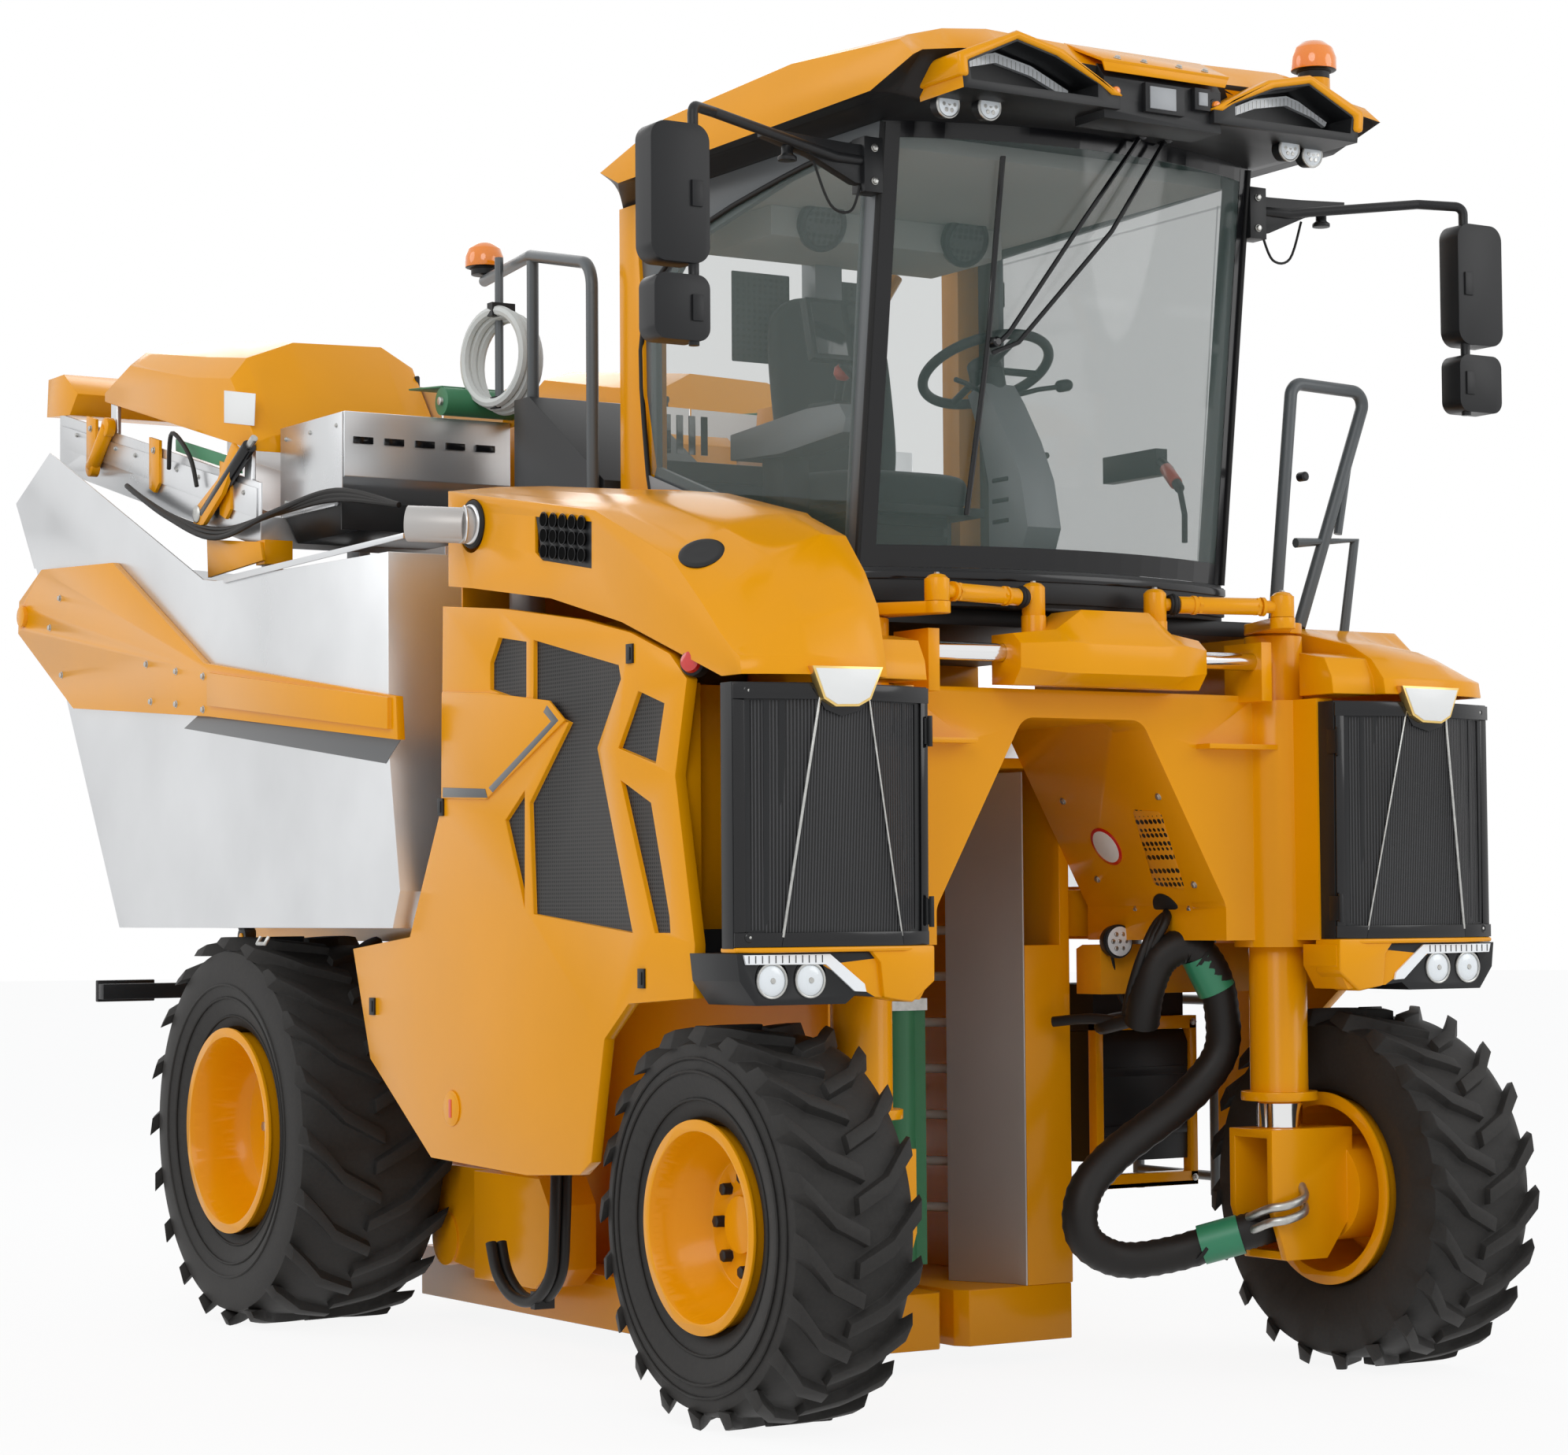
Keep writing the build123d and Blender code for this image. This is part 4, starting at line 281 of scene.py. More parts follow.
def perforated(mat, pitch):
    """Adds a regular pattern of dark round holes to a material."""
    tree = mat.node_tree
    place = new_node(tree, "ShaderNodeTexCoord")
    cells = new_node(tree, "ShaderNodeTexVoronoi", {"Scale": 1.0 / pitch, "Randomness": 0.0})
    tree.links.new(place.outputs["Object"], cells.inputs["Vector"])
    overlay(mat, math_node(tree, "LESS_THAN", cells.outputs["Distance"], 0.42), (0.004, 0.004, 0.004))
    return mat


# Colour, roughness, then what differs from a plain surface
LOOKS = {
    "yellow": ((0.83, 0.335, 0.0008), 0.22, dict(coat=0.05, tint=0.05, bump=0.015, grain=60.0, specular=0.2)),
    "yellow_wear": ((0.78, 0.31, 0.001), 0.4, dict(tint=0.16, dirt=0.1, patch=5.0, bump=0.06, specular=0.2)),
    "grey_frame": ((0.085, 0.095, 0.10), 0.4, dict(tint=0.12, bump=0.05)),
    "stainless": ((0.70, 0.71, 0.72), 0.3, dict(metal=0.85, tint=0.10, grain=40.0, brush=(1.0, 1.0, 24.0),
                                                bump=0.03, rough_span=0.09)),
    "stainless_soft": ((0.50, 0.48, 0.46), 0.42, dict(metal=0.35, tint=0.10, grain=40.0, brush=(1.0, 1.0,
                                                      24.0), bump=0.03)),
    "chrome": ((0.80, 0.80, 0.80), 0.1, dict(metal=1.0, tint=0.03, bump=0.01)),
    "tyre": ((0.016, 0.015, 0.0145), 0.62, dict(tint=0.3, dirt=0.08, grain=90.0, bump=0.14, specular=0.3)),
    "black_plastic": ((0.012, 0.0125, 0.0135), 0.42, dict(tint=0.2, grain=420.0, bump=0.10, specular=0.3)),
    "black_gloss": ((0.006, 0.006, 0.007), 0.16, dict(coat=0.1, tint=0.2, bump=0.02, specular=0.35)),
    "rubber": ((0.010, 0.010, 0.010), 0.6, dict(tint=0.25, bump=0.12, grain=300.0, specular=0.3)),
    "glass": ((0.10, 0.15, 0.135), 0.05, dict(tint=0.05, alpha=0.22, bump=0.0, specular=0.8,
                                              rough_span=0.02)),
    "side_glass": ((0.11, 0.16, 0.145), 0.05, dict(tint=0.05, alpha=0.24, bump=0.0, specular=0.8,
                                                   rough_span=0.02)),
    "mirror": ((0.86, 0.88, 0.9), 0.04, dict(metal=1.0, tint=0.02, bump=0.0)),
    "lens": ((0.82, 0.86, 0.88), 0.08, dict(coat=0.8, tint=0.06, grain=260.0, bump=0.25)),
    "led": ((0.90, 0.92, 0.93), 0.2, dict(coat=0.5, tint=0.03, bump=0.03)),
    "green_belt": ((0.035, 0.20, 0.085), 0.5, dict(tint=0.18, bump=0.08, dirt=0.08)),
    "green_clamp": ((0.03, 0.24, 0.12), 0.35, dict(tint=0.1, bump=0.03)),
    "seat_fabric": ((0.018, 0.020, 0.021), 0.85, dict(tint=0.3, grain=600.0, bump=0.4, sheen=0.3)),
    "rod_plastic": ((0.62, 0.63, 0.60), 0.42, dict(tint=0.1, bump=0.04)),
    "engine_iron": ((0.07, 0.07, 0.072), 0.55, dict(tint=0.3, dirt=0.2, bump=0.2)),
    "amber": ((0.90, 0.24, 0.006), 0.12, dict(coat=0.8, tint=0.08, bump=0.02)),
    "red_lens": ((0.60, 0.015, 0.010), 0.14, dict(coat=0.8, tint=0.08, bump=0.05)),
    "red_grip": ((0.75, 0.07, 0.015), 0.3, dict(coat=0.3, tint=0.08, bump=0.03)),
    "white": ((0.82, 0.82, 0.80), 0.35, dict(coat=0.2, tint=0.04, bump=0.03)),
    "gold": ((0.83, 0.58, 0.20), 0.28, dict(metal=0.9, tint=0.05, bump=0.03)),
    "band_grey": ((0.075, 0.078, 0.080), 0.32, dict(coat=0.3, tint=0.06, bump=0.02)),
    "bolt": ((0.50, 0.50, 0.48), 0.34, dict(metal=0.9, tint=0.18, patch=60.0, bump=0.06)),
    "panel_grey": ((0.30, 0.31, 0.32), 0.45, dict(metal=0.2, tint=0.1, bump=0.05)),
    # Pitch black with almost no gloss: painted shade that stands in for the inside of the hood vent's round
    # holes
    "painted_hole_shade": ((0.003, 0.003, 0.003), 0.9, dict(tint=0.1, bump=0.0, specular=0.05)),
    "screen": ((0.010, 0.012, 0.014), 0.08, dict(coat=0.9, tint=0.1, bump=0.0)),
    "headliner": ((0.55, 0.55, 0.52), 0.85, dict(tint=0.08, grain=500.0, bump=0.2)),
    "hose": ((0.011, 0.0095, 0.0085), 0.5, dict(tint=0.2, grain=500.0, bump=0.18, specular=0.3)),
}
M = {name: material(name, color, rough, **rest) for name, (color, rough, rest) in LOOKS.items()}
M["grille"] = lined(material("grille", (0.06, 0.06, 0.062), 0.42, tint=0.2, grain=500.0, bump=0.1,
                             specular=0.3), "X", 0.009, (0.004, 0.004, 0.004), 0.8)
M["mesh"] = perforated(material("mesh", (0.04, 0.038, 0.036), 0.5, tint=0.2, specular=0.3), 0.011)
M["mesh_yellow"] = perforated(material("mesh_yellow", (0.78, 0.32, 0.008), 0.35, tint=0.08), 0.02)
M["screen_mesh"] = perforated(material("screen_mesh", (0.05, 0.05, 0.05), 0.5, tint=0.2), 0.02)
M["belt_ribbed"] = lined(material("belt_ribbed", (0.035, 0.20, 0.085), 0.5, tint=0.18), "Y", 0.06,
                         (0.02, 0.12, 0.05), 0.9)


# Carried-over solids: materials by face, softened edges
def soften(obj, width):
    """Joins the solid's triangles into faces and rounds its edges."""
    mesh = obj.data
    custom = mesh.attributes.get("custom_normal")
    if custom:
        mesh.attributes.remove(custom)
    mesh.polygons.foreach_set("use_smooth", [True] * len(mesh.polygons))
    weld = obj.modifiers.new("weld", "WELD")
    weld.merge_threshold = 0.00004
    flat = obj.modifiers.new("flat", "DECIMATE")
    flat.decimate_type = "DISSOLVE"
    flat.angle_limit = math.radians(0.6)
    flat.delimit = {"MATERIAL"}
    bevel = obj.modifiers.new("bevel", "BEVEL")
    bevel.width = width
    bevel.segments = 2
    bevel.limit_method = "ANGLE"
    bevel.angle_limit = math.radians(28.0)
    bevel.harden_normals = False
    split = obj.modifiers.new("split", "EDGE_SPLIT")
    split.split_angle = math.radians(38.0)


def paint(node, names, rule=None):
    """Gives a carried-over solid its materials; rule picks one from a face's middle and normal."""
    mesh = NODES[node].data
    mesh.materials.clear()
    for name in names:
        mesh.materials.append(M[name])
    for face in mesh.polygons:
        face.material_index = rule(face.center, face.normal) if rule else 0


def behind(point):
    """Distance behind the front axle, in metres."""
    return point.y - AXLE_Y * MM


SLOT_OF = {row["node"]: row["material_slot"] for row in frame["record"]["subparts"]}
EDGE = {"cab_roof": 0.012, "right_hood": 0.004, "left_hood": 0.004, "steer_cover": 0.008, "mirrors": 0.006,
        "front_tyre_left": 0.006, "front_tyre_right": 0.006, "rear_tyre_left": 0.006,
        "rear_tyre_right": 0.006}
EDGE_ELSEWHERE = 0.0025
for node_name, node_slot in SLOT_OF.items():
    paint(node_name, [node_slot])
    if node_slot != "glass":
        soften(NODES[node_name], EDGE.get(node_name, EDGE_ELSEWHERE))


# Materials that change within one solid, by each face's place in metres
def tone_rims(side):
    """Bright nuts on a black hub in front, silver nuts at the rear."""
    for place, names, limit in (("front", ["yellow", "black_plastic"], 1.081),
                                ("rear", ["yellow", "bolt"], 1.076)):
        node = f"{place}_rim_{side}"
        lows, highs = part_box(node)
        axle = (lows[1] + highs[1]) / 2
        height = (lows[2] + highs[2]) / 2

        def rule(point, normal, limit=limit, axle=axle, height=height):
            ring = math.hypot(point.y - axle, point.z - height)
            return 1 if abs(point.x) > limit and 0.104 < ring < 0.143 else 0

        paint(node, names, rule)


def tone_lamps(point, normal):
    """Yellow inner block, black housing."""
    return 1 if abs(point.x) < 0.868 else 0


def tone_door(point, normal):
    """Mesh on the floors of the window pockets."""
    inside = abs(point.x) < 1.2515 and abs(point.x) > 1.2440 and abs(normal.x) > 0.9
    return 1 if inside and normal.x * point.x > 0 else 0


def tone_cab(point, normal):
    """Black floor band, yellow rear posts, grey pillars."""
    if point.z < 2.285:
        return 1
    if behind(point) > 1.29 and abs(point.x) >= 0.53:
        return 2
    return 0


def tone_roof(point, normal):
    """Yellow shell with a black underside, black front pockets and a black visor box."""
    x = abs(point.x)
    d = behind(point)
    if normal.z < -0.5 or point.z < 3.472:
        return 1
    if x < 0.202 and d < -0.299 and point.z < 3.599:
        return 1
    if d < -0.325 and 0.2 < x < 0.68 and abs(normal.y) > 0.9:
        return 1
    if x < 0.375:
        brow = 3.53 + (x - 0.235) * 0.39
    elif x < 0.5:
        brow = 3.585 + (x - 0.375) * 0.22
    else:
        brow = 3.612 - (x - 0.5) * 0.46
    return 1 if d < -0.33 and 0.23 < x < 0.66 and point.z < brow + 0.003 and abs(normal.y) < 0.5 else 0


def tone_beacons(point, normal):
    """Amber dome on a black foot."""
    return 1 if point.z < (3.724 if point.x > 0 else 3.522) else 0


def tone_table(point, normal):
    """Green belt on the trough's floor, stainless sides."""
    d = behind(point)
    low = point.z < 2.757 + 0.246 * (d - 2.870) - 0.16
    return 1 if low and normal.z > 0.9 and abs(point.x) < 1.15 and d > 2.87 else 0


def tone_foot(point, normal):
    """Black rubber sole with a green seal above it."""
    if point.z < 0.088:
        return 1
    return 2 if point.z < 0.105 else 0


for side in ("left", "right"):
    tone_rims(side)
    paint(f"side_door_{side}", ["yellow", "mesh"], tone_door)
    paint(f"sorting_table_{side}", ["stainless", "belt_ribbed"], tone_table)
paint("cab_frame", ["grey_frame", "black_plastic", "yellow"], tone_cab)
paint("cab_roof", ["yellow", "black_plastic"], tone_roof)
paint("beacons", ["amber", "black_plastic"], tone_beacons)
paint("entry_plates", ["stainless_soft"])
paint("exhaust", ["stainless_soft"])
paint("foot_conveyors", ["yellow", "rubber", "green_belt"], tone_foot)
paint("headlamp_units", ["black_plastic", "yellow"], tone_lamps)
paint("cab_door", ["side_glass"])
paint("cab_glass_right", ["side_glass"])


# Pieces in mesh code
def at(x, behind_axle, z):
    """Point in metres from X, distance behind the front axle and Z in millimetres."""
    return Vector((x, behind_axle + AXLE_Y, z)) * MM


def smooth_line(points, steps=6):
    """Soft curve through the points, for hoses and cables."""
    if steps < 2:
        return points
    line = []
    last = len(points) - 1
    for index in range(last):
        p0 = points[max(index - 1, 0)]
        p1 = points[index]
        p2 = points[index + 1]
        p3 = points[min(index + 2, last)]
        for step in range(steps):
            t = step / steps
            line.append(0.5 * (2 * p1 + (p2 - p0) * t + (2 * p0 - 5 * p1 + 4 * p2 - p3) * t * t
                               + (3 * p1 - p0 - 3 * p2 + p3) * t * t * t))
    line.append(points[-1])
    return line


class Piece:
    """One mesh built from several shapes; tone is the index of the shape's material.

    A piece with sign -1 is built at the mirrored X of its numbers.
    """

    def __init__(self, name, *tones, sign=1):
        self.name = name
        self.tones = tones
        self.sign = sign
        self.bm = bmesh.new()

    def at(self, x, behind_axle, z):
        """Point in metres, on the piece's own side."""
        return at(self.sign * x, behind_axle, z)

    def way(self, x, y, z):
        """Direction of length one, on the piece's own side."""
        return Vector((self.sign * x, y, z)).normalized()

    def face(self, corners, tone=0):
        """One flat face between corners that are in place."""
        self.bm.faces.new(corners).material_index = tone

    def prism(self, axis, outline, low, high, tone=0):
        """Straight solid: outline in the plane across the axis, from low to high along it."""
        order = {"x": lambda u, v, w: self.at(w, u, v), "d": lambda u, v, w: self.at(u, w, v),
                 "z": self.at}[axis]
        first = [self.bm.verts.new(order(u, v, low)) for u, v in outline]
        second = [self.bm.verts.new(order(u, v, high)) for u, v in outline]
        self.face(first, tone)
        self.face(second[::-1], tone)
        for index, corner in enumerate(first):
            after = (index + 1) % len(first)
            self.face((first[after], corner, second[index], second[after]), tone)

    def box(self, x, d, z, tone=0):
        """Block between pairs of X, distance and Z."""
        self.prism("z", [(x[0], d[0]), (x[1], d[0]), (x[1], d[1]), (x[0], d[1])], z[0], z[1], tone)

    def slab(self, corners, thick, tone=0):
        """Flat plate on any plane: corners as rows, thickened along its normal."""
        places = [self.at(*corner) for corner in corners]
        way = (places[1] - places[0]).cross(places[-1] - places[0]).normalized() * thick * self.sign * MM
        first = [self.bm.verts.new(place) for place in places]
        second = [self.bm.verts.new(place + way) for place in places]
        self.face(first[::-1], tone)
        self.face(second, tone)
        for index in range(len(first)):
            after = (index + 1) % len(first)
            self.face((first[index], first[after], second[after], second[index]), tone)

    def rings(self, centres, ways, radii, sides, tone, closed=False):
        """Skin over round sections."""
        loops = []
        side_way = None
        for centre, way, radius in zip(centres, ways, radii):
            if side_way is None:
                side_way = way.orthogonal().normalized()
                if abs(way.z) < 0.9:
                    side_way = way.cross(Vector((0, 0, 1))).normalized()
            side_way = (side_way - way * side_way.dot(way)).normalized()
            other = way.cross(side_way)
            turns = [2 * math.pi * k / sides for k in range(sides)]
            spokes = [side_way * math.cos(a) + other * math.sin(a) for a in turns]
            loops.append([self.bm.verts.new(centre + spoke * radius * MM) for spoke in spokes])
        pairs = list(zip(loops, loops[1:]))
        if closed:
            pairs.append((loops[-1], loops[0]))
        for first, second in pairs:
            for k in range(sides):
                after = (k + 1) % sides
                self.face((first[k], first[after], second[after], second[k]), tone)
        if not closed:
            self.face(loops[0][::-1], tone)
            self.face(loops[-1], tone)

    def tube(self, points, radius, sides=10, tone=0, steps=1, ribs=0.0):
        """Round bar or hose through points; ribs makes it corrugated."""
        line = smooth_line([self.at(*point) for point in points], steps)
        ways = []
        for index in range(len(line)):
            ahead = line[min(index + 1, len(line) - 1)] - line[max(index - 1, 0)]
            ways.append(ahead.normalized())
        radii = [radius * (1 + ribs * (index % 2)) for index in range(len(line))]
        self.rings(line, ways, radii, sides, tone)

    def lathe(self, start, toward, profile, sides=24, tone=0):
        """Turned shape: profile as (distance along, radius) in millimetres."""
        base = self.at(*start)
        way = self.way(*toward)
        centres = [base + way * along * MM for along, radius in profile]
        self.rings(centres, [way] * len(profile), [max(radius, 0.3) for along, radius in profile],
                   sides, tone)

    def hoop(self, centre, toward, big, small, sides=8, turns=32, tone=0):
        """Closed ring."""
        middle = self.at(*centre)
        way = self.way(*toward)
        flat = way.orthogonal().normalized()
        other = way.cross(flat)
        places = []
        ways = []
        for k in range(turns):
            a = 2 * math.pi * k / turns
            places.append(middle + (flat * math.cos(a) + other * math.sin(a)) * big * MM)
            ways.append((other * math.cos(a) - flat * math.sin(a)).normalized())
        self.rings(places, ways, [small] * turns, sides, tone, closed=True)

    def bolts(self, places, toward, size=9, tone=0):
        """Hexagon heads on washers."""
        for place in places:
            self.lathe(place, toward, [(-2, size * 1.25), (1.5, size * 1.25), (1.6, size * 1.1)], 14, tone)
            self.lathe(place, toward, [(1, size), (size * 0.7, size), (size * 0.8, size * 0.8)], 6, tone)

    def boxes(self, rows, tone=0):
        """Blocks from rows of X, distance and Z pairs."""
        for row in rows:
            self.box(*row, tone)

    def wall(self, x, rows, thick, tone=0):
        """Plate across X, from rows of distance and Z."""
        self.slab([(x, d, z) for d, z in rows], thick, tone)

    def done(self, body="chassis", slot="black_plastic", bevel=0.0, smooth=32):
        """Turns the shapes into one object that rides on its body."""
        bmesh.ops.recalc_face_normals(self.bm, faces=self.bm.faces)
        obj = add_object(self.name, self.bm, [M[tone] for tone in self.tones])
        obj.data.polygons.foreach_set("use_smooth", [True] * len(obj.data.polygons))
        if bevel:
            edge = obj.modifiers.new("bevel", "BEVEL")
            edge.width = bevel * MM
            edge.segments = 2
            edge.limit_method = "ANGLE"
            edge.angle_limit = math.radians(40)
        split = obj.modifiers.new("split", "EDGE_SPLIT")
        split.split_angle = math.radians(smooth)
        if body:
            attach(obj, body)
        return obj


# Front: grille mesh with silver lines on its creases, bands and screws, badge plate, bumper, lamps
GRILLE_LOW = 1240
GRILLE_HIGH = 1915
GRILLE_IN = 696
GRILLE_OUT = 1286


def grille_line(z, sink=0.0, inset=0.0):
    """Front line of the grille at a height, from its inner to its outer edge."""
    share = (z - GRILLE_LOW) / (GRILLE_HIGH - GRILLE_LOW)
    deep = -300 - 41 * share + sink
    return [(GRILLE_IN + inset, -280 - 6 * share + sink), (788 + 134 * share, deep),
            (1162 - 103 * share, deep), (GRILLE_OUT - inset, -274 + sink)]


for s, side in SIDES:
    net = Piece(f"grille_net_{side}", "grille", sign=s)
    rows = []
    for z in (1276, 1420, 1580, 1740, 1880):
        rows.append([net.bm.verts.new(net.at(x, d, z)) for x, d in grille_line(z, -2.5, 24)])
    for lower, upper in zip(rows, rows[1:]):
        for k in range(3):
            net.face((lower[k], lower[k + 1], upper[k + 1], upper[k]))
    net.done(f"front_grille_{side}")

    trim = Piece(f"grille_trim_{side}", "bolt", "black_gloss", "black_plastic", sign=s)
    for crease, width in ((1, 3.0), (2, 4.5)):
        trim.tube([(*grille_line(z, -5)[crease], z) for z in (1268, 1890)], width, 8)
    for z_low, z_high in ((1872, 1912), (1244, 1280)):
        low = grille_line(z_low, -4)
        high = grille_line(z_high, -4)
        for k in range(3):
            trim.slab([(*low[k], z_low), (*low[k + 1], z_low), (*high[k + 1], z_high), (*high[k], z_high)],
                      4, 1)
    for k, wide in ((0, 26), (3, -30)):
        low = grille_line(1244, -4, 2)[k]
        high = grille_line(1912, -4, 2)[k]
        back = abs(wide) * 0.2
        trim.slab([(*low, 1244), (low[0] + wide, low[1] - back, 1244), (high[0] + wide, high[1] - back, 1912),
                   (*high, 1912)], 4, 1)
    middle = grille_line(1880, -7)
    trim.slab([(x, middle[1][1], z) for x, z in
               ((900, 1900), (1085, 1900), (1050, 1846), (1000, 1830), (940, 1846))], 4, 1)
    for z in (1268, 1893):
        screw = (*grille_line(z, -12, 40)[3], z)
        trim.lathe(screw, (0, -1, 0), [(-8, 14), (4, 14), (6, 11)], 20, 1)
        trim.lathe(screw, (0, -1, 0), [(4, 4), (8, 4)], 8)
    for z in (1330, 1800):
        trim.box((690, 712), (-300, -262), (z - 34, z + 34), 2)
        trim.tube([(698, -303, z - 40), (698, -303, z + 40)], 7, 10, 2)
    trim.done(f"front_grille_{side}", bevel=1.0)

    badge = Piece(f"badge_plate_{side}", "gold", "white", sign=s)
    badge.prism("d", [(884, 1958), (1100, 1956), (1066, 1872), (1030, 1853),
                      (960, 1855), (922, 1874)], -366, -338)
    badge.prism("d", [(893, 1952), (1091, 1950), (1061, 1877), (1027, 1859),
                      (963, 1861), (928, 1879)], -369, -362, 1)
    badge.done(slot="yellow", bevel=1.5)

    bumper = Piece(f"bumper_{side}", "yellow", sign=s)
    bumper.prism("z", grille_line(1240, -12) + [(1286, -210), (690, -210)], 1229, 1243)
    bumper.prism("d", [(690, 1243), (690, 1150), (760, 1096), (850, 1110), (860, 1200),
                       (900, 1243)], -306, -200)
    bumper.done(slot="yellow", bevel=6, smooth=40)

    lamp = Piece(f"headlamps_{side}", "bolt", "lens", "led", "black_plastic", sign=s)
    lamp.prism("d", [(1268, 1224), (1010, 1224), (905, 1146), (900, 1126), (935, 1128),
                     (1022, 1198), (1262, 1200)], -298, -288, 2)
    for k in range(12):
        lamp.box((1255 - 20 * k, 1253 - 20 * k), (-299.5, -290), (1203, 1222), 3)
    for x in (1068, 1183):
        lamp.hoop((x, -293, 1158), (0, 1, 0), 43, 3.5, tone=0)
        lamp.lathe((x, -286, 1158), (0, -1, 0), [(-4, 42), (4, 42), (9, 36), (12, 24), (13, 8)], 28, 1)
        lamp.hoop((x, -296, 1158), (0, 1, 0), 20, 2.2, tone=0)
        lamp.lathe((x, -300, 1158), (0, -1, 0), [(-3, 9), (1, 7)], 16)
    lamp.done()

# Side door and bodywork fittings
DOOR_FACE = 1262
ARROW_FACE = 1268.3
LATCHES = {"right": ((1396, 1644), (1857, 1054), (281, 2022), (228, 1159)),
           "left": ((860, 1300), (860, 900), (281, 1880), (228, 1159))}
for s, side in SIDES:
    fit = Piece(f"door_fittings_{side}", "band_grey", "black_plastic", "red_grip", "yellow", sign=s)
    if side == "right":
        # Grey bands along the raised arrow
        for band in (((1370, 1700), (1105, 1688), (1090, 1662), (1372, 1672)),
                     ((1085, 1690), (1060, 1676), (668, 1862), (735, 1908), (756, 1890), (712, 1862))):
            fit.wall(ARROW_FACE, band, 1.2)
        # Round recess with its red handle
        fit.lathe((DOOR_FACE + 0.5, 1336, 769), (1, 0, 0), [(-3, 52), (1, 52), (2, 46)], 28, 3)
        fit.lathe((DOOR_FACE, 1336, 769), (1, 0, 0), [(0, 44), (3, 44)], 28, 3)
        fit.box((DOOR_FACE, DOOR_FACE + 5), (1328, 1344), (743, 795), 2)
    for d, z in LATCHES[side]:
        fit.box((DOOR_FACE - 4, DOOR_FACE + 4), (d - 17, d + 17), (z - 26, z + 26), 1)
        fit.box((DOOR_FACE, DOOR_FACE + 7), (d - 8, d + 8), (z - 17, z + 17), 1)
    fit.done(f"side_door_{side}", bevel=2)

# Hood fittings: vent with round holes (black discs of painted shade), cap, exhaust ring, marker lamp
hood = Piece("hood_fittings", "black_plastic", "black_gloss", "stainless", "red_lens", "painted_hole_shade", "rubber")
hood.wall(-1259, ((818, 2462), (482, 2416), (480, 2262), (770, 2310)), 9)
for row in range(3):
    for column in range(5):
        d = 535 + 54 * column
        z = 2307 + 44 * row + 0.14 * (d - 535)
        hood.hoop((-1268.5, d, z), (1, 0, 0), 20.5, 1.8, 6, 20)
        # Black disc in each hole: painted shade in place of an open hole
        hood.lathe((-1262, d, z), (-1, 0, 0), [(0, 18), (6.6, 18)], 18, 4)
hood.hoop((-1266, 1183, 2453), (1, 0, 0), 62, 9, 8, 36, 5)
hood.hoop((-1274, 1183, 2453), (1, 0, 0), 53, 6, 8, 36, 2)
hood.hoop((-1290, 1188, 2453), (1, -0.3, 0), 51, 4, 8, 36, 2)
MARKER_WAY = (-0.86, -0.5, 0.1)
hood.lathe((-1225, -6, 1978), MARKER_WAY, [(0, 28), (34, 30), (44, 26), (48, 16)], 24, 3)
hood.lathe((-1222, -6, 1978), MARKER_WAY, [(0, 36), (33, 36), (36, 32)], 24, 5)
hood.lathe((-1190, 24, 2263), (-0.48, -0.46, 0.74), [(0, 62), (12, 62), (15, 55), (14, 44), (15, 12)], 36)
hood.bolts([(-1060, -60, 2262), (-1244, 300, 2320), (-1248, 60, 2205)], (-0.3, -0.3, 0.9), 6, 1)
hood.done()


def diodes(piece, centre, spread, profile, tone):
    """Six round diodes about a middle one, facing forward."""
    for turn in range(7):
        a = 2 * math.pi * turn / 6
        away = 0 if turn == 6 else spread
        piece.lathe((centre[0] + away * math.cos(a), centre[1], centre[2] + away * math.sin(a)), (0, -1, 0),
                    profile, 12, tone)


# Roof: light strips in the front pockets, work lamps, brows, visor plate with its fittings
for s, side in SIDES:
    strip = Piece(f"roof_lights_{side}", "led", "black_plastic", "bolt", "lens", sign=s)
    top_edge = [(652, 3552), (612, 3576), (500, 3602), (385, 3580), (262, 3528)]
    low_edge = [(262, 3506), (385, 3553), (500, 3575), (596, 3551), (640, 3530)]
    strip.prism("d", top_edge + low_edge, -352, -334)
    strip.prism("d", [(655, 3545), (500, 3612), (375, 3585), (235, 3530), (235, 3494), (648, 3494)],
                -338, -331, 1)
    for k in range(26):
        x = 280 + 14 * k
        if x < 385:
            rise = 3516 + (x - 262) * 0.37
        elif x < 500:
            rise = 3562 + (x - 385) * 0.19
        else:
            rise = 3584 - (x - 500) * 0.26
        strip.box((x, x + 1.4), (-353, -340), (rise - 8, rise + 13), 2)
    for x, d in ((515, -338), (626, -306)):
        strip.lathe((x, d, 3458), (0, -1, -0.08), [(-34, 22), (-30, 34), (0, 37), (5, 37)], 28, 1)
        strip.hoop((x, d - 6, 3457.5), (0, 1, 0.08), 34, 4, tone=2)
        strip.lathe((x, d - 2, 3458), (0, -1, -0.08), [(0, 33), (6, 33), (9, 26), (10, 8)], 28, 3)
        diodes(strip, (x, d - 10, 3457), 17, [(0, 6.5), (2, 5)], 2)
        strip.box((x - 5, x + 5), (d + 2, d + 40), (3476, 3500), 1)
    strip.done()

    # Yellow moulded brow over each pocket
    brow = Piece(f"roof_brow_{side}", "yellow", sign=s)
    crest = [(148, 3506), (352, 3610), (502, 3641), (695, 3560), (690, 3500)]
    inside = [(658, 3500), (662, 3543), (500, 3618), (372, 3590), (228, 3530), (190, 3506)]
    brow.prism("d", crest + inside, -459, -262)
    brow.done(slot="yellow", bevel=9, smooth=50)

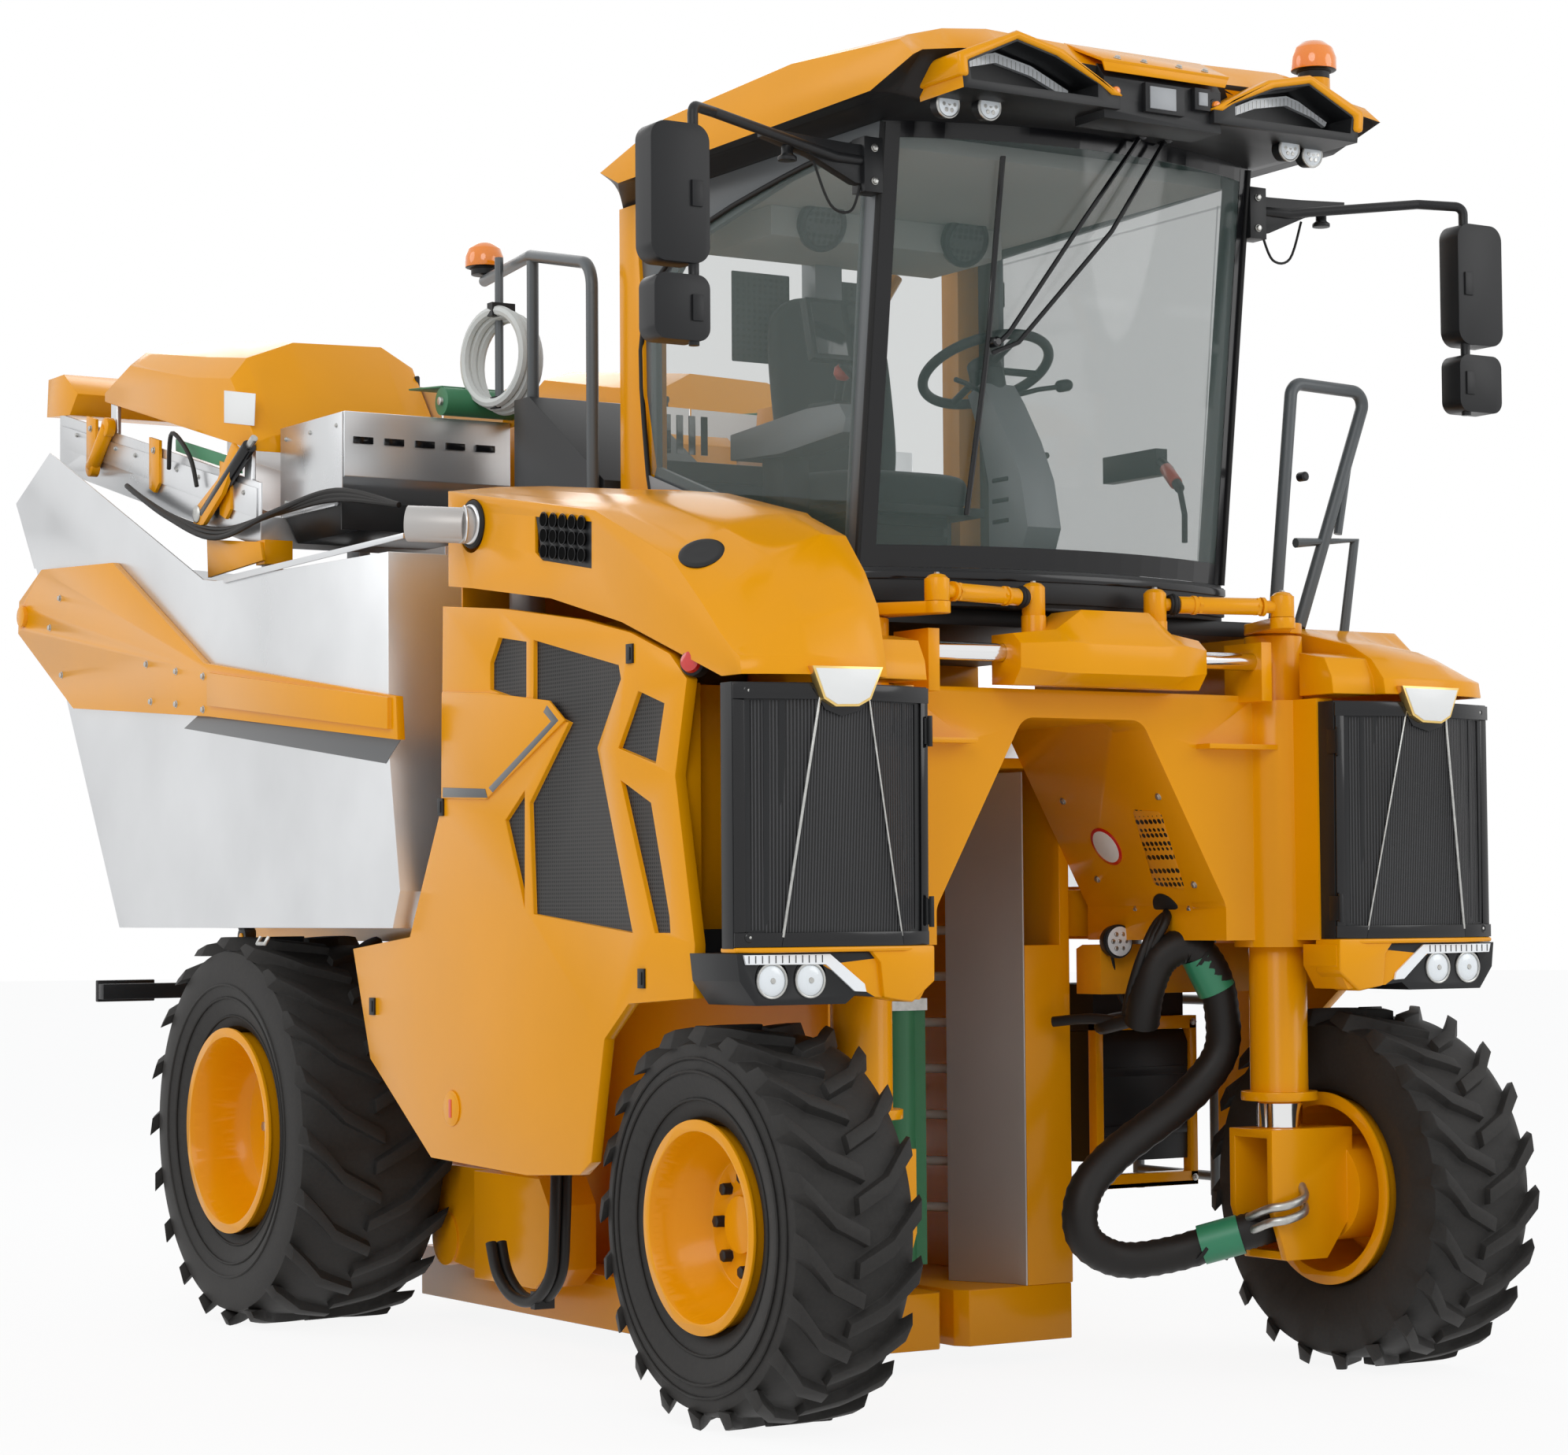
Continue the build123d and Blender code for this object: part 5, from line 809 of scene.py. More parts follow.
visor = Piece("visor_plate", "yellow", "black_plastic", "panel_grey", "bolt", "amber")
visor.slab([(-215, -446, 3594), (215, -446, 3594), (235, -296, 3664), (-235, -296, 3664)], 9)
visor.slab([(-215, -446, 3596), (215, -446, 3596), (205, -444, 3572), (-205, -444, 3572)], 6)
visor.bolts([(x, -425, 3616) for x in (-150, -60, 60, 150)], (0, -0.42, 0.9), 8, 3)
visor.boxes((((-72, 62), (-446, -428), (3476, 3556)), ((96, 150), (-448, -430), (3500, 3560))), 1)
visor.boxes((((-58, 30), (-450, -440), (3486, 3546)), ((108, 138), (-452, -446), (3512, 3548))), 2)
for x in (-168, 176):
    visor.lathe((x, -430, 3520), (0, -1, 0), [(-2, 20), (8, 20)], 20, 1)
    visor.lathe((x, -438, 3520), (0, -1, 0), [(-2, 14), (8, 12), (10, 6)], 20, 4)
visor.done(slot="yellow", bevel=2.5)

# Cab: black seals round the windscreen, base band, wiper, headliner and speakers
GLASS_HALF = 637
GLASS_BOW = 150
GLASS_FOOT = 2269.6
GLASS_RISE = 1200.1
GLASS_LEAN = 147
GLASS_RADIUS = (GLASS_HALF ** 2 + GLASS_BOW ** 2) / (2 * GLASS_BOW)


def glass_at(x, z, off=0.0):
    """Point on the front of the windscreen, moved off it towards the front."""
    lean = GLASS_LEAN * (z - GLASS_FOOT) / GLASS_RISE
    bow = math.sqrt(GLASS_RADIUS ** 2 - x * x) - (GLASS_RADIUS - GLASS_BOW)
    return (x, 130 - lean - bow - off, z)


seal = Piece("windscreen_seal", "rubber", "black_gloss")
for z, height in ((2300, 30), (3448, 22)):
    for k in range(16):
        x0 = (k / 8 - 1) * GLASS_HALF
        x1 = x0 + GLASS_HALF / 8
        seal.slab([glass_at(x, z + rise, 1) for x, rise in
                   ((x0, -height), (x1, -height), (x1, height), (x0, height))], -2.5, 1)
for s in (1, -1):
    edge = s * GLASS_HALF
    inner = s * (GLASS_HALF - 45)
    for k in range(10):
        z0 = 2272 + 119 * k
        z1 = z0 + 119
        seal.slab([glass_at(x, z, 1) for x, z in ((edge, z0), (inner, z0), (inner, z1), (edge, z1))],
                  2.5 * s, 1)
    seal.tube([glass_at(edge, 2271, 3), glass_at(edge, 3466, 3)], 8, 8)
seal.done()

base = Piece("cab_base_band", "black_plastic", "black_gloss")
band = [glass_at(x, GLASS_FOOT, 14) for x in range(-GLASS_HALF, GLASS_HALF + 1, 98)]
for ahead, back, low, high, tone in ((0, 160, 2176, 2262, 0), (6, 120, 2236, 2258, 1)):
    base.prism("z", [(x, d - ahead) for x, d, z in band] + [(GLASS_HALF, back), (-GLASS_HALF, back)],
               low, high, tone)
base.done(bevel=3)

wiper = Piece("wiper", "black_gloss", "rubber")
blade = [glass_at(*row) for row in ((-325, 3383, 22), (-330, 3150, 20), (-334, 2893, 20), (-350, 2640, 20),
                                    (-367, 2412, 22))]
wiper.tube(blade, 7, 8, 0, 3)
wiper.tube([(x, d + 9, z) for x, d, z in blade], 4, 6, 1, 3)
for top, rows in (((106, -196, 3474), ((-80, 3230, 46), (-290, 2905, 42), (-318, 2872, 34))),
                  ((196, -190, 3474), ((10, 3200, 48), (-262, 2880, 44), (-330, 2850, 34)))):
    wiper.tube([top] + [glass_at(*row) for row in rows], 7, 8)
wiper.lathe(glass_at(-322, 2880, 20), (0, -1, 0), [(-6, 14), (24, 14), (28, 9)], 16)
for x in (106, 196):
    wiper.lathe((x, -190, 3480), (0, -1, 0), [(-20, 17), (16, 17), (22, 10)], 18)
wiper.done()

lining = Piece("cab_lining", "headliner", "black_plastic", "screen_mesh", "panel_grey", "yellow")
lining.prism("z", [(-600, 60), (600, 60), (610, 1290), (-610, 1290)], 3420, 3464)
lining.box((-420, 420), (900, 1280), (3330, 3420))
for x in (-250, 270):
    lining.lathe((x, 880, 3372), (0, -1, -0.3), [(-20, 82), (6, 82), (8, 70), (0, 60)], 30, 1)
    lining.lathe((x, 876, 3370), (0, -1, -0.3), [(0, 64), (4, 30)], 30, 2)
for x in (-300, 40):
    lining.box((x, x + 210), (1318, 1326), (3020, 3300), 2)
lining.box((-40, 60), (1250, 1330), (2640, 3430), 3)
lining.tube([(160, 1348, 2660), (170, 1340, 3100), (300, 1300, 3330)], 20, 10, 4)
lining.box((-620, 620), (1316, 1338), (2640, 2700), 1)
lining.done(bevel=4)

# Right rear corner of the cab: yellow sweep down to the hood and grey lower panel
sweep = Piece("cab_corner_sweeps", "yellow", "panel_grey", "rubber", sign=-1)
sweep.prism("x", [(1398, 3466), (1300, 3466), (1262, 3120), (1250, 2700), (1190, 2480), (1090, 2400),
                  (900, 2352), (900, 2290), (1398, 2290)], 652, 612)
sweep.wall(652.5, ((1235, 2640), (1180, 2500), (1085, 2412), (905, 2372), (330, 2300), (200, 2296)), -2.5, 1)
sweep.tube([(652, d, z) for d, z in
            ((175, 2306), (900, 2368), (1085, 2420), (1182, 2510), (1240, 2700), (1252, 3110), (985, 3310),
             (470, 3398), (55, 3430))], 8, 8, 2, 4)
sweep.done(slot="yellow", bevel=6)

# Seat, armrest with its screens, steering column and lever console
SEAT_FOOT = 2269.3


def pad(name, middle, size, lean, crown):
    """Crowned cushion: a rounded form whose sides pull in between its corners."""
    bm = bmesh.new()
    columns = 14
    rings = 12
    grid = []
    for i in range(rings + 1):
        v = -1 + 2 * i / rings
        row = []
        for j in range(columns):
            a = 2 * math.pi * j / columns
            round_x = math.copysign(abs(math.cos(a)) ** 0.55, math.cos(a))
            round_y = math.copysign(abs(math.sin(a)) ** 0.55, math.sin(a))
            thin = (1 - abs(v) ** 3.2) ** 0.42 if abs(v) < 1 else 0.0
            dish = 1 - 0.05 * math.cos(2 * a) ** 2
            row.append(bm.verts.new((round_x * size[0] * (0.62 + 0.38 * thin) * dish,
                                     round_y * size[1] * (0.62 + 0.38 * thin) * dish,
                                     v * size[2] * (1 + crown * (1 - max(abs(round_x), abs(round_y)))))))
        grid.append(row)
    for lower, upper in zip(grid, grid[1:]):
        for j in range(columns):
            after = (j + 1) % columns
            bm.faces.new((lower[j], lower[after], upper[after], upper[j]))
    bm.faces.new(grid[0][::-1])
    bm.faces.new(grid[-1])
    turn = Matrix.Rotation(math.radians(lean), 4, "X")
    bmesh.ops.transform(bm, matrix=Matrix.Translation(at(*middle)) @ turn @ Matrix.Scale(MM, 4),
                        verts=bm.verts)
    bmesh.ops.recalc_face_normals(bm, faces=bm.faces)
    obj = add_object(name, bm, [M["seat_fabric"]])
    obj.data.polygons.foreach_set("use_smooth", [True] * len(obj.data.polygons))
    soft = obj.modifiers.new("soft", "SUBSURF")
    soft.levels = 2
    soft.render_levels = 2
    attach(obj, "chassis")


pad("seat_cushion", (0, 980, SEAT_FOOT + 325), (245, 250, 62), 4, 0.22)
pad("seat_back", (0, 1222, SEAT_FOOT + 640), (222, 62, 320), -9, 0.05)
console = Piece("seat_console", "black_plastic", "panel_grey", "screen", "red_grip", "rubber")
console.box((-140, 140), (830, 1120), (2272, 2300))
for k in range(7):
    fold = 8 * (k % 2)
    console.box((-150 + fold, 150 - fold), (820 + fold, 1120 - fold), (2300 + 30 * k, 2330 + 30 * k), 4)
console.box((-230, 230), (740, 1200), (2508, 2534))
console.prism("x", [(560, 2705), (545, 2745), (580, 2790), (760, 2796), (1180, 2768), (1180, 2690),
                    (900, 2680)], -395, -268, 1)
console.prism("x", [(600, 2788), (640, 2806), (760, 2812), (790, 2792)], -380, -285)
console.tube([(-330, 690, 2800), (-332, 660, 2880)], 13)
console.lathe((-332, 662, 2872), (0, -0.3, 1), [(0, 14), (14, 26), (34, 26), (46, 14)], 20, 3)
for d in (800, 834, 868):
    console.boxes([((x, x + 20), (d, d + 22), (2790, 2799)) for x in (-370, -340, -310)], 4)
console.box((-345, -255), (960, 1080), (2510, 2700))
console.tube([(-330, 600, 2770), (-340, 570, 2860), (-395, 560, 2905)], 14)
for x in (-454, -330):
    console.prism("x", [(520, 2906), (552, 2898), (596, 3078), (564, 3086)], x - 63, x + 63)
    console.slab([(x - 52, 519.5, 2918), (x + 52, 519.5, 2918), (x + 52, 557.5, 3072), (x - 52, 557.5, 3072)],
                 3, 2)
seat_parts = console.done(slot="seat_fabric", bevel=6)
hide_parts("seat")

steer = Piece("steering_console", "black_plastic", "panel_grey", "rubber")
steer.prism("x", [(250, 2330), (210, 2420), (240, 2560), (300, 2680), (380, 2800), (430, 2860), (500, 2830),
                  (440, 2700), (400, 2560), (400, 2330)], 0, 120, 1)
for z in (2440, 2500, 2560):
    steer.box((-2, 122), (300, 380), (z, z + 14))
steer.tube([(120, 420, 2830), (190, 410, 2850), (260, 400, 2862)], 8, 8)
steer.lathe((250, 402, 2861), (1, -0.1, 0.2), [(0, 10), (8, 18), (40, 18), (52, 12)], 16)
steer.tube([(0, 420, 2830), (-70, 410, 2850), (-110, 405, 2858)], 8, 8)
steer.box((-180, 330), (120, 190), (2270, 2292), 2)
for x in (-140, 240):
    steer.slab([(x, 190, 2300), (x + 90, 190, 2300), (x + 90, 330, 2350), (x, 330, 2350)], 14, 2)
steer.done(bevel=4)

# Cab door: inner latch with its grip, hinges, handle and seal
latch = Piece("cab_door_fittings", "black_plastic", "red_grip", "rubber")
latch.box((600, 642), (380, 640), (2620, 2700))
latch.tube([(620, 380, 2660), (600, 320, 2630), (560, 220, 2560)], 15)
latch.tube([(598, 330, 2632), (570, 250, 2580)], 20, 12, 1)
latch.tube([(560, 220, 2560), (545, 180, 2480), (560, 200, 2400)], 9, 8)
latch.tube([(676, 1200, 2750), (700, 1200, 2760), (700, 1060, 2760), (676, 1060, 2750)], 11)
for z in (2420, 3300):
    latch.box((664, 690), (1262, 1318), (z - 40, z + 40))
latch.tube([(660, d, z) for d, z in ((190, 2290), (60, 3450), (1305, 3450), (1305, 2290), (190, 2290))],
           7, 8, 2)
latch.done("cab_door", "glass", bevel=3)

# Mirrors: arm brackets, knobs and glass
for s, side in SIDES:
    arm = Piece(f"mirror_fittings_{side}", "black_plastic", "mirror", "rubber", "bolt", sign=s)
    arm.prism("d", [(642, 3400), (642, 3290), (720, 3292), (860, 3352), (1010, 3390),
                    (1010, 3412), (840, 3402), (720, 3398)], -10, 26)
    arm.box((640, 700), (-22, 40), (3270, 3420))
    arm.bolts([(668, -24, 3300), (668, -24, 3390)], (0, -1, 0), 9, 3)
    arm.tube([(700, 0, 3290), (735, -6, 3215), (800, -6, 3225), (850, 0, 3340)], 4, 8, 2, 6)
    arm.lathe((930, 4, 3372), (0, 0, -1), [(0, 16), (22, 16), (30, 26), (40, 26)], 16)
    for middle, wide, high in ((3170, 174, 360), (2875, 165, 170)):
        arm.prism("d", [(1376 + dx * wide * 0.44, middle + dz * high * 0.46) for dx, dz in
                        ((-0.8, -1), (0.8, -1), (1, -0.86), (1, 0.86), (0.8, 1), (-0.8, 1), (-1, 0.86),
                         (-1, -0.86))], -112, -107, 1)
        arm.box((1312, 1344), (-196, -150), (middle - 34, middle + 34))
    arm.done(bevel=3)

# Beacons: ribbed necks and inner reflectors
for x, d, z in ((690, -250, 3690.3), (-425, 2720, 3489.3)):
    flash = Piece("beacon_front" if x > 0 else "beacon_rear", "rubber", "chrome", "bolt")
    for k in range(4):
        flash.hoop((x, d, z + 6 + 9 * k), (0, 0, 1), 30 + 8 * k if k < 3 else 60, 5, 8, 28)
    flash.lathe((x, d, z + 30), (0, 0, 1), [(0, 30), (34, 18), (60, 10)], 20, 1)
    flash.tube([(x - 40, d, z + 14), (x + 40, d, z + 14)], 5, 8, 2)
    flash.done(slot="amber")

# Under the arch on the left: tank in its frame, beam and work lamp
tank = Piece("tank", "black_plastic", "yellow", "bolt", "rubber")
tank.prism("x", [(775, 560), (1090, 548), (1110, 900), (1080, 952), (790, 958), (768, 920)], 664, 1000)
tank.boxes([((672, 992), (764, 772), (z, z + 26)) for z in (640, 820)])
tank.lathe((830, 900, 950), (0, 0, 1), [(0, 62), (30, 62), (34, 54)], 26, 3)
tank.boxes([((x, x + 28), (762, 800), (500, 985)) for x in (640, 1004)], 1)
tank.boxes([((640, 1032), d, z) for d, z in (((762, 810), (478, 520)), ((762, 1100), (478, 492)),
                                             ((762, 800), (960, 1000)))], 1)
tank.bolts([(x, 760, z) for z in (980, 500) for x in (654, 1018)], (0, -1, 0), 9, 2)
tank.box((660, 1010), (800, 1090), (958, 1100), 3)
tank.done(bevel=10, smooth=40)

beam = Piece("arch_beam", "yellow_wear", "bolt", "black_plastic", "lens", "hose")
beam.prism("x", [(470, 1080), (590, 1080), (590, 1214), (560, 1226), (470, 1226)], 440, 1050)
beam.bolts([(x, 468, 1200) for x in (480, 660, 840, 1010)], (0, -1, 0), 9, 1)
beam.lathe((478, 440, 1236), (-0.1, -1, 0), [(-30, 34), (-24, 46), (0, 50), (8, 50)], 28, 2)
beam.hoop((478, 431, 1236), (0, 1, 0), 46, 4.5, tone=2)
beam.lathe((478, 440, 1236), (-0.1, -1, 0), [(6, 45), (12, 45), (15, 30), (16, 8)], 28, 3)
diodes(beam, (477, 426, 1236), 24, [(0, 8), (4, 6)], 1)
beam.tube([(478, 470, 1210), (500, 480, 1130), (540, 500, 1060), (600, 520, 1030)], 7, 8, 4, 6)
beam.done(slot="yellow", bevel=4)

# Sleeved hose bundle from the arch down to the left wheel motor, with its clamps
BUNDLE = ((458, 300, 998), (440, 250, 1100), (470, 220, 1190), (541, 185, 1222), (600, 160, 1160),
          (640, 160, 1050), (640, 170, 905), (520, 200, 772), (290, 220, 628), (180, 222, 520),
          (175, 215, 400), (290, 200, 333), (440, 140, 345), (560, 40, 395), (640, 0, 418), (700, 0, 430))
bundle = Piece("hose_bundle", "hose", "green_clamp", "rubber", "bolt")
bundle.tube(BUNDLE, 50, 18, 0, 9, ribs=0.05)
for first, second in (((575, 175, 1196), (625, 160, 1095)), ((500, 92, 370), (585, 18, 402))):
    bundle.tube([first, second], 57, 20, 1)
    bundle.tube([first, (first[0] + 8, first[1] - 4, first[2] - 6)], 59, 20, 2)
for rise in (0, 40):
    bundle.tube([(590, -10, 410 + rise), (600, -90, 440 + rise), (640, -125, 450 + rise),
                 (700, -125, 470 + rise), (720, -90, 500 + rise)], 13, 10, 3, 5)
hoses = bundle.done("", smooth=50)
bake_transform(hoses)
cable = Piece("arch_cables", "hose")
for k in range(3):
    cable.tube([(505 + 8 * k, 236, 1322), (470, 200 + 20 * k, 1290), (430 - 12 * k, 230, 1200),
                (420 - 10 * k, 280, 1090), (450, 330 + 20 * k, 1010)], 13, 8, 0, 7)
cable.tube([(450, 330, 1010), (420, 440, 985), (520, 520, 1000), (700, 560, 1010)], 22, 10, 0, 6)
cable.tube([(450, 350, 1000), (390, 460, 1010), (330, 560, 1000)], 16, 10, 0, 6)
cable.done(smooth=50)

# Green flap behind the right entry plate
flap = Piece("entry_flap", "green_belt", "bolt")
line = [(-170 + 26 * k, 690 + 16 * math.sin(k * 1.9)) for k in range(6)]
flap.prism("z", line + [(x, d + 6) for x, d in reversed(line)], 300, 1060)
flap.box((-182, -38), (680, 712), (1040, 1075), 1)
flap.done(slot="green_belt", smooth=60)

# Bright band between each leg tube and its fork
for s, side in SIDES:
    band = Piece(f"leg_band_{side}", "chrome", sign=s)
    band.lathe((720, 0, 704), (0, 0, 1), [(0, 65.5), (68, 65.5)], 40)
    band.done(f"leg_{side}", "chrome", smooth=60)

# Thick hoses looped under the right foot motor
loops = Piece("motor_hoses", "hose", "black_plastic", sign=-1)
for shift in (0, 34):
    loops.tube([(985 - shift, 1210, 600), (1016 - shift, 1165, 430)] + [
        (1018 - shift, d, z) for d, z in ((1185, 290), (1290, 206), (1420, 204))] + [
        (1016 - shift, 1520, 262), (1012 - shift, 1570, 350)], 17, 12, 0, 6)
loops.box((960, 1026), (1270, 1296), (180, 232), 1)
loops.done(smooth=60)

# Raised rings on the outer tyre walls
for place, rows in (("front", ((330, 1223.5), (402, 1240), (436, 1235.5))),
                    ("rear", ((372, 1258), (432, 1279.5), (474, 1291)))):
    for s, side in SIDES:
        lows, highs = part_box(f"{place}_tyre_{side}")
        d = ((lows[1] + highs[1]) / 2) / MM - AXLE_Y
        z = (lows[2] + highs[2]) / 2 / MM
        wall = Piece(f"{place}_tyre_rings_{side}", "tyre", sign=s)
        for ring, x in rows:
            wall.hoop((x, d, z), (1, 0, 0), ring, 4.5, 6, 64)
        wall.done(f"{place}_wheel_{side}", "tyre", smooth=60)

# Hose ends at the wheel motors
for s, side in SIDES:
    motor = Piece(f"motor_fittings_{side}", "bolt", "hose", sign=s)
    for k in range(3):
        motor.tube([(790, -40 + 30 * k, 470 + 20 * k), (800, -70 + 20 * k, 560), (830, -60, 640),
                    (850, -20 + 30 * k, 560)], 11, 8, 1, 6)
        motor.lathe((850, -20 + 30 * k, 570), (0, 0, -1), [(0, 15), (26, 15), (28, 10)], 6)
    motor.done(f"leg_{side}")

# Bins: rims, grey stripe under the arm, bolts and a small loop below
for s, side in SIDES:
    rim = Piece(f"bin_fittings_{side}", "stainless", "band_grey", "bolt", sign=s)
    rim.prism("x", [(3110, 1996), (1585, 1850), (1690, 1782), (3230, 1958)], 1296.2, 1298.5, 1)
    rim.prism("x", [(2890, 2442), (1560, 2462), (1560, 2446), (2890, 2420)], 1296.2, 1303)
    rim.bolts([(1322.5, d, z) for d, z in
               ((3500, 2190), (3240, 2150), (3460, 2060), (3240, 2040), (3010, 2120), (3010, 2010),
                (4320, 2480), (4420, 2380), (4300, 2200))], (1, 0, 0), 10, 2)
    rim.tube([(1297, 2600, 1262), (1310, 2600, 1240), (1310, 2540, 1240), (1297, 2540, 1262)],
             7, 8, 2)
    rim.done(f"bin_{side}", "stainless", bevel=1)

# Sorting gear above the bins: brackets, struts, rollers, belts, handles, hoses and guard plates
TROUGH_FRONT = 2870
TROUGH_Z = 2757
TROUGH_SLOPE = 0.246
GUARD_FACE = 492
for s, side in SIDES:
    gear = Piece(f"sorting_gear_{side}", "yellow", "stainless", "green_belt", "black_plastic", "bolt", "hose",
                 "black_gloss", sign=s)
    # Yellow end brackets and struts at the outer side of the trough
    gear.prism("x", [(4660, 3350), (4820, 3350), (4835, 3210), (4600, 3190), (4520, 3260)],
               560, 1180)
    for d in (3080, 3700, 4300):
        z = TROUGH_Z + TROUGH_SLOPE * (d - TROUGH_FRONT)
        gear.prism("x", [(d, z + 30), (d + 90, z + 52), (d + 90, z - 130), (d + 40, z - 150),
                         (d, z - 120)], 1184, 1196)
        gear.bolts([(1197, d + 45, z)], (1, 0, 0), 10, 4)
    gear.tube([(1206, 4300, 2960), (1206, 4150, 3090)], 26, 12)
    for d, z in ((4300, 2960), (4150, 3090)):
        gear.lathe((1190, d, z), (1, 0, 0), [(0, 34), (30, 34), (34, 26)])
    # Trough side plate with bolts, green belt edge above it
    gear.prism("x", [(2890, 2640), (4680, 3080), (4680, 3160), (2890, 2740)], 1181, 1186, 1)
    gear.bolts([(1187, 2990 + 190 * k, 2735.16 + 46.17 * k) for k in range(9)], (1, 0, 0), 7, 4)
    gear.prism("x", [(3000, 2800), (3560, 2938), (3560, 2980), (3000, 2845)], 1186, 1192, 2)
    # Dark cylinder and bent arms at the front corner
    gear.tube([(1206, 3260, 2690), (1206, 2900, 2880)], 24, 14, 6)
    gear.tube([(1206, 2930, 2864), (1206, 2860, 2902)], 13, 12, 4)
    gear.prism("x", [(3330, 2650), (3290, 2720), (3120, 2790), (3000, 2900), (2950, 2870), (3080, 2740),
                     (3240, 2650)], 1210, 1226)
    gear.prism("x", [(3240, 2600), (2800, 2552), (2780, 2490), (3230, 2470)], 1200, 1212)
    gear.box((1100, 1200), (2790, 2860), (2480, 2560))
    gear.lathe((1210, 3290, 2690), (1, 0, 0), [(0, 30), (20, 30), (24, 22)], 22, 4)
    # Hoses along the trough
    for k in range(3):
        gear.tube([(1210 + 12 * k, 3900, 2830 + 10 * k), (1222 + 12 * k, 3500, 2700),
                   (1215 + 12 * k, 3100, 2620 - 14 * k), (1190 + 10 * k, 2700, 2640),
                   (1150, 2350, 2650 + 14 * k), (1100, 2000, 2600)], 10, 8, 5, 8)
    gear.tube([(1200, 3600, 2880), (1230, 3500, 2990), (1216, 3380, 2900), (1210, 3330, 2790)],
              8, 8, 5, 8)
    # Hopper box: slotted front plate and folded edges
    gear.box((1101, 1106), (2400, 2874), (2650, 2940), 1)
    gear.bolts([(1107, d, z) for d, z in
                ((2440, 2900), (2640, 2900), (2830, 2900), (2440, 2690), (2830, 2690))], (1, 0, 0), 6, 4)
    gear.box((500, 1112), (2388, 2396), (2560, 2650), 3)
    gear.boxes([((560 + 110 * k, 630 + 110 * k), (2388, 2394), (2840, 2862)) for k in range(5)], 6)
    gear.prism("d", [(540, 2645), (1090, 2645), (1050, 2560), (580, 2560)], 2400, 2860, 3)
    gear.bolts([(720, 2392, 2610), (880, 2392, 2610)], (0, -1, 0), 12, 4)
    # Green belt over its front roller
    gear.tube([(500, 2380, 2995), (760, 2380, 2995)], 46, 24, 2)
    gear.tube([(490, 2380, 2995), (770, 2380, 2995)], 14, 12, 4)
    gear.slab([(500, 2380, 3040), (760, 2380, 3040), (760, 2620, 3060), (500, 2620, 3060)],
              6, 2)
    gear.prism("x", [(2330, 3060), (2440, 3060), (2460, 2930), (2330, 2930)], 486, 496)
    # Black handles on the inner guard and the lid
    for d, z in ((3078, 3180), (3900, 3260)):
        gear.tube([(500, d, z - 60), (500, d, z), (500, d + 130, z + 4), (500, d + 130, z - 56)],
                  9, 8, 3)
    gear.done(f"bin_{side}", "stainless", bevel=2.5)

    guard = Piece(f"guard_plate_{side}", "stainless", sign=s)
    guard.wall(GUARD_FACE, ((2440, 2960), (2440, 3040), (2890, 3117), (2890, 2800)), 3 * s)
    guard.done(f"bin_{side}", "stainless")
    upper = Piece(f"guard_top_{side}", "stainless", sign=s)
    upper.wall(GUARD_FACE, ((2905, 2968), (2905, 3120), (3078, 3150), (4026, 3300), (4240, 3300),
                            (4240, 3120)), 3 * s)
    upper.done(f"sorter_lid_{side}", "stainless")

# Pale end plates of the sorting lids
for s, side in SIDES:
    lid = Piece(f"lid_fittings_{side}", "white", sign=s)
    lid.prism("x", [(3163, 3100), (2905, 3056), (2915, 2950), (3163, 2990)], 1180.3, 1183)
    lid.done(f"sorter_lid_{side}", "yellow", bevel=2)

# Rear top: pale hose coil on its post, slots behind the cab, cross bars of the left rail, lamps
rear = Piece("rear_top_fittings", "rod_plastic", "black_plastic", "screen", "grey_frame")
for k in range(3):
    rear.hoop((-640 + 26 * k, 2240, 3130 - 10 * k), (1, 0.2, 0), 150, 17, 8, 40)
rear.box((-656, -572), (2222, 2258), (3262, 3306), 1)
rear.box((-646, -582), (2222, 2258), (2962, 3000), 1)
rear.tube([(-610, 2262, 2960), (-610, 2262, 3460)], 14, 10, 3)
rear.boxes([((-600 + 44 * k, -578 + 44 * k), (1446, 1451), (2740, 2860)) for k in range(7)], 2)
rear.done()

step = Piece("rail_cross_bars", "grey_frame", "black_plastic")
step.tube([(896, 100, 2406), (1125, 100, 2424), (1060, 100, 2040)], 15)
step.tube([(1112, 100, 2700), (1060, 100, 2440)], 13)
step.lathe((905, 88, 2600), (0, -1, 0), [(0, 14), (26, 14), (30, 8)], 14, 1)
step.done(slot="grey_frame")

lights = Piece("rear_lamps", "red_lens", "black_plastic", "amber")
for s in (1, -1):
    for near, far, d, z, tone in ((960, 1180, (4306, 4330), (1020, 1098), 1),
                                  (970, 1090, (4328, 4342), (1030, 1088), 0),
                                  (1096, 1170, (4328, 4342), (1030, 1088), 2)):
        lights.box((s * near, s * far), d, z, tone)
lights.done(bevel=4)

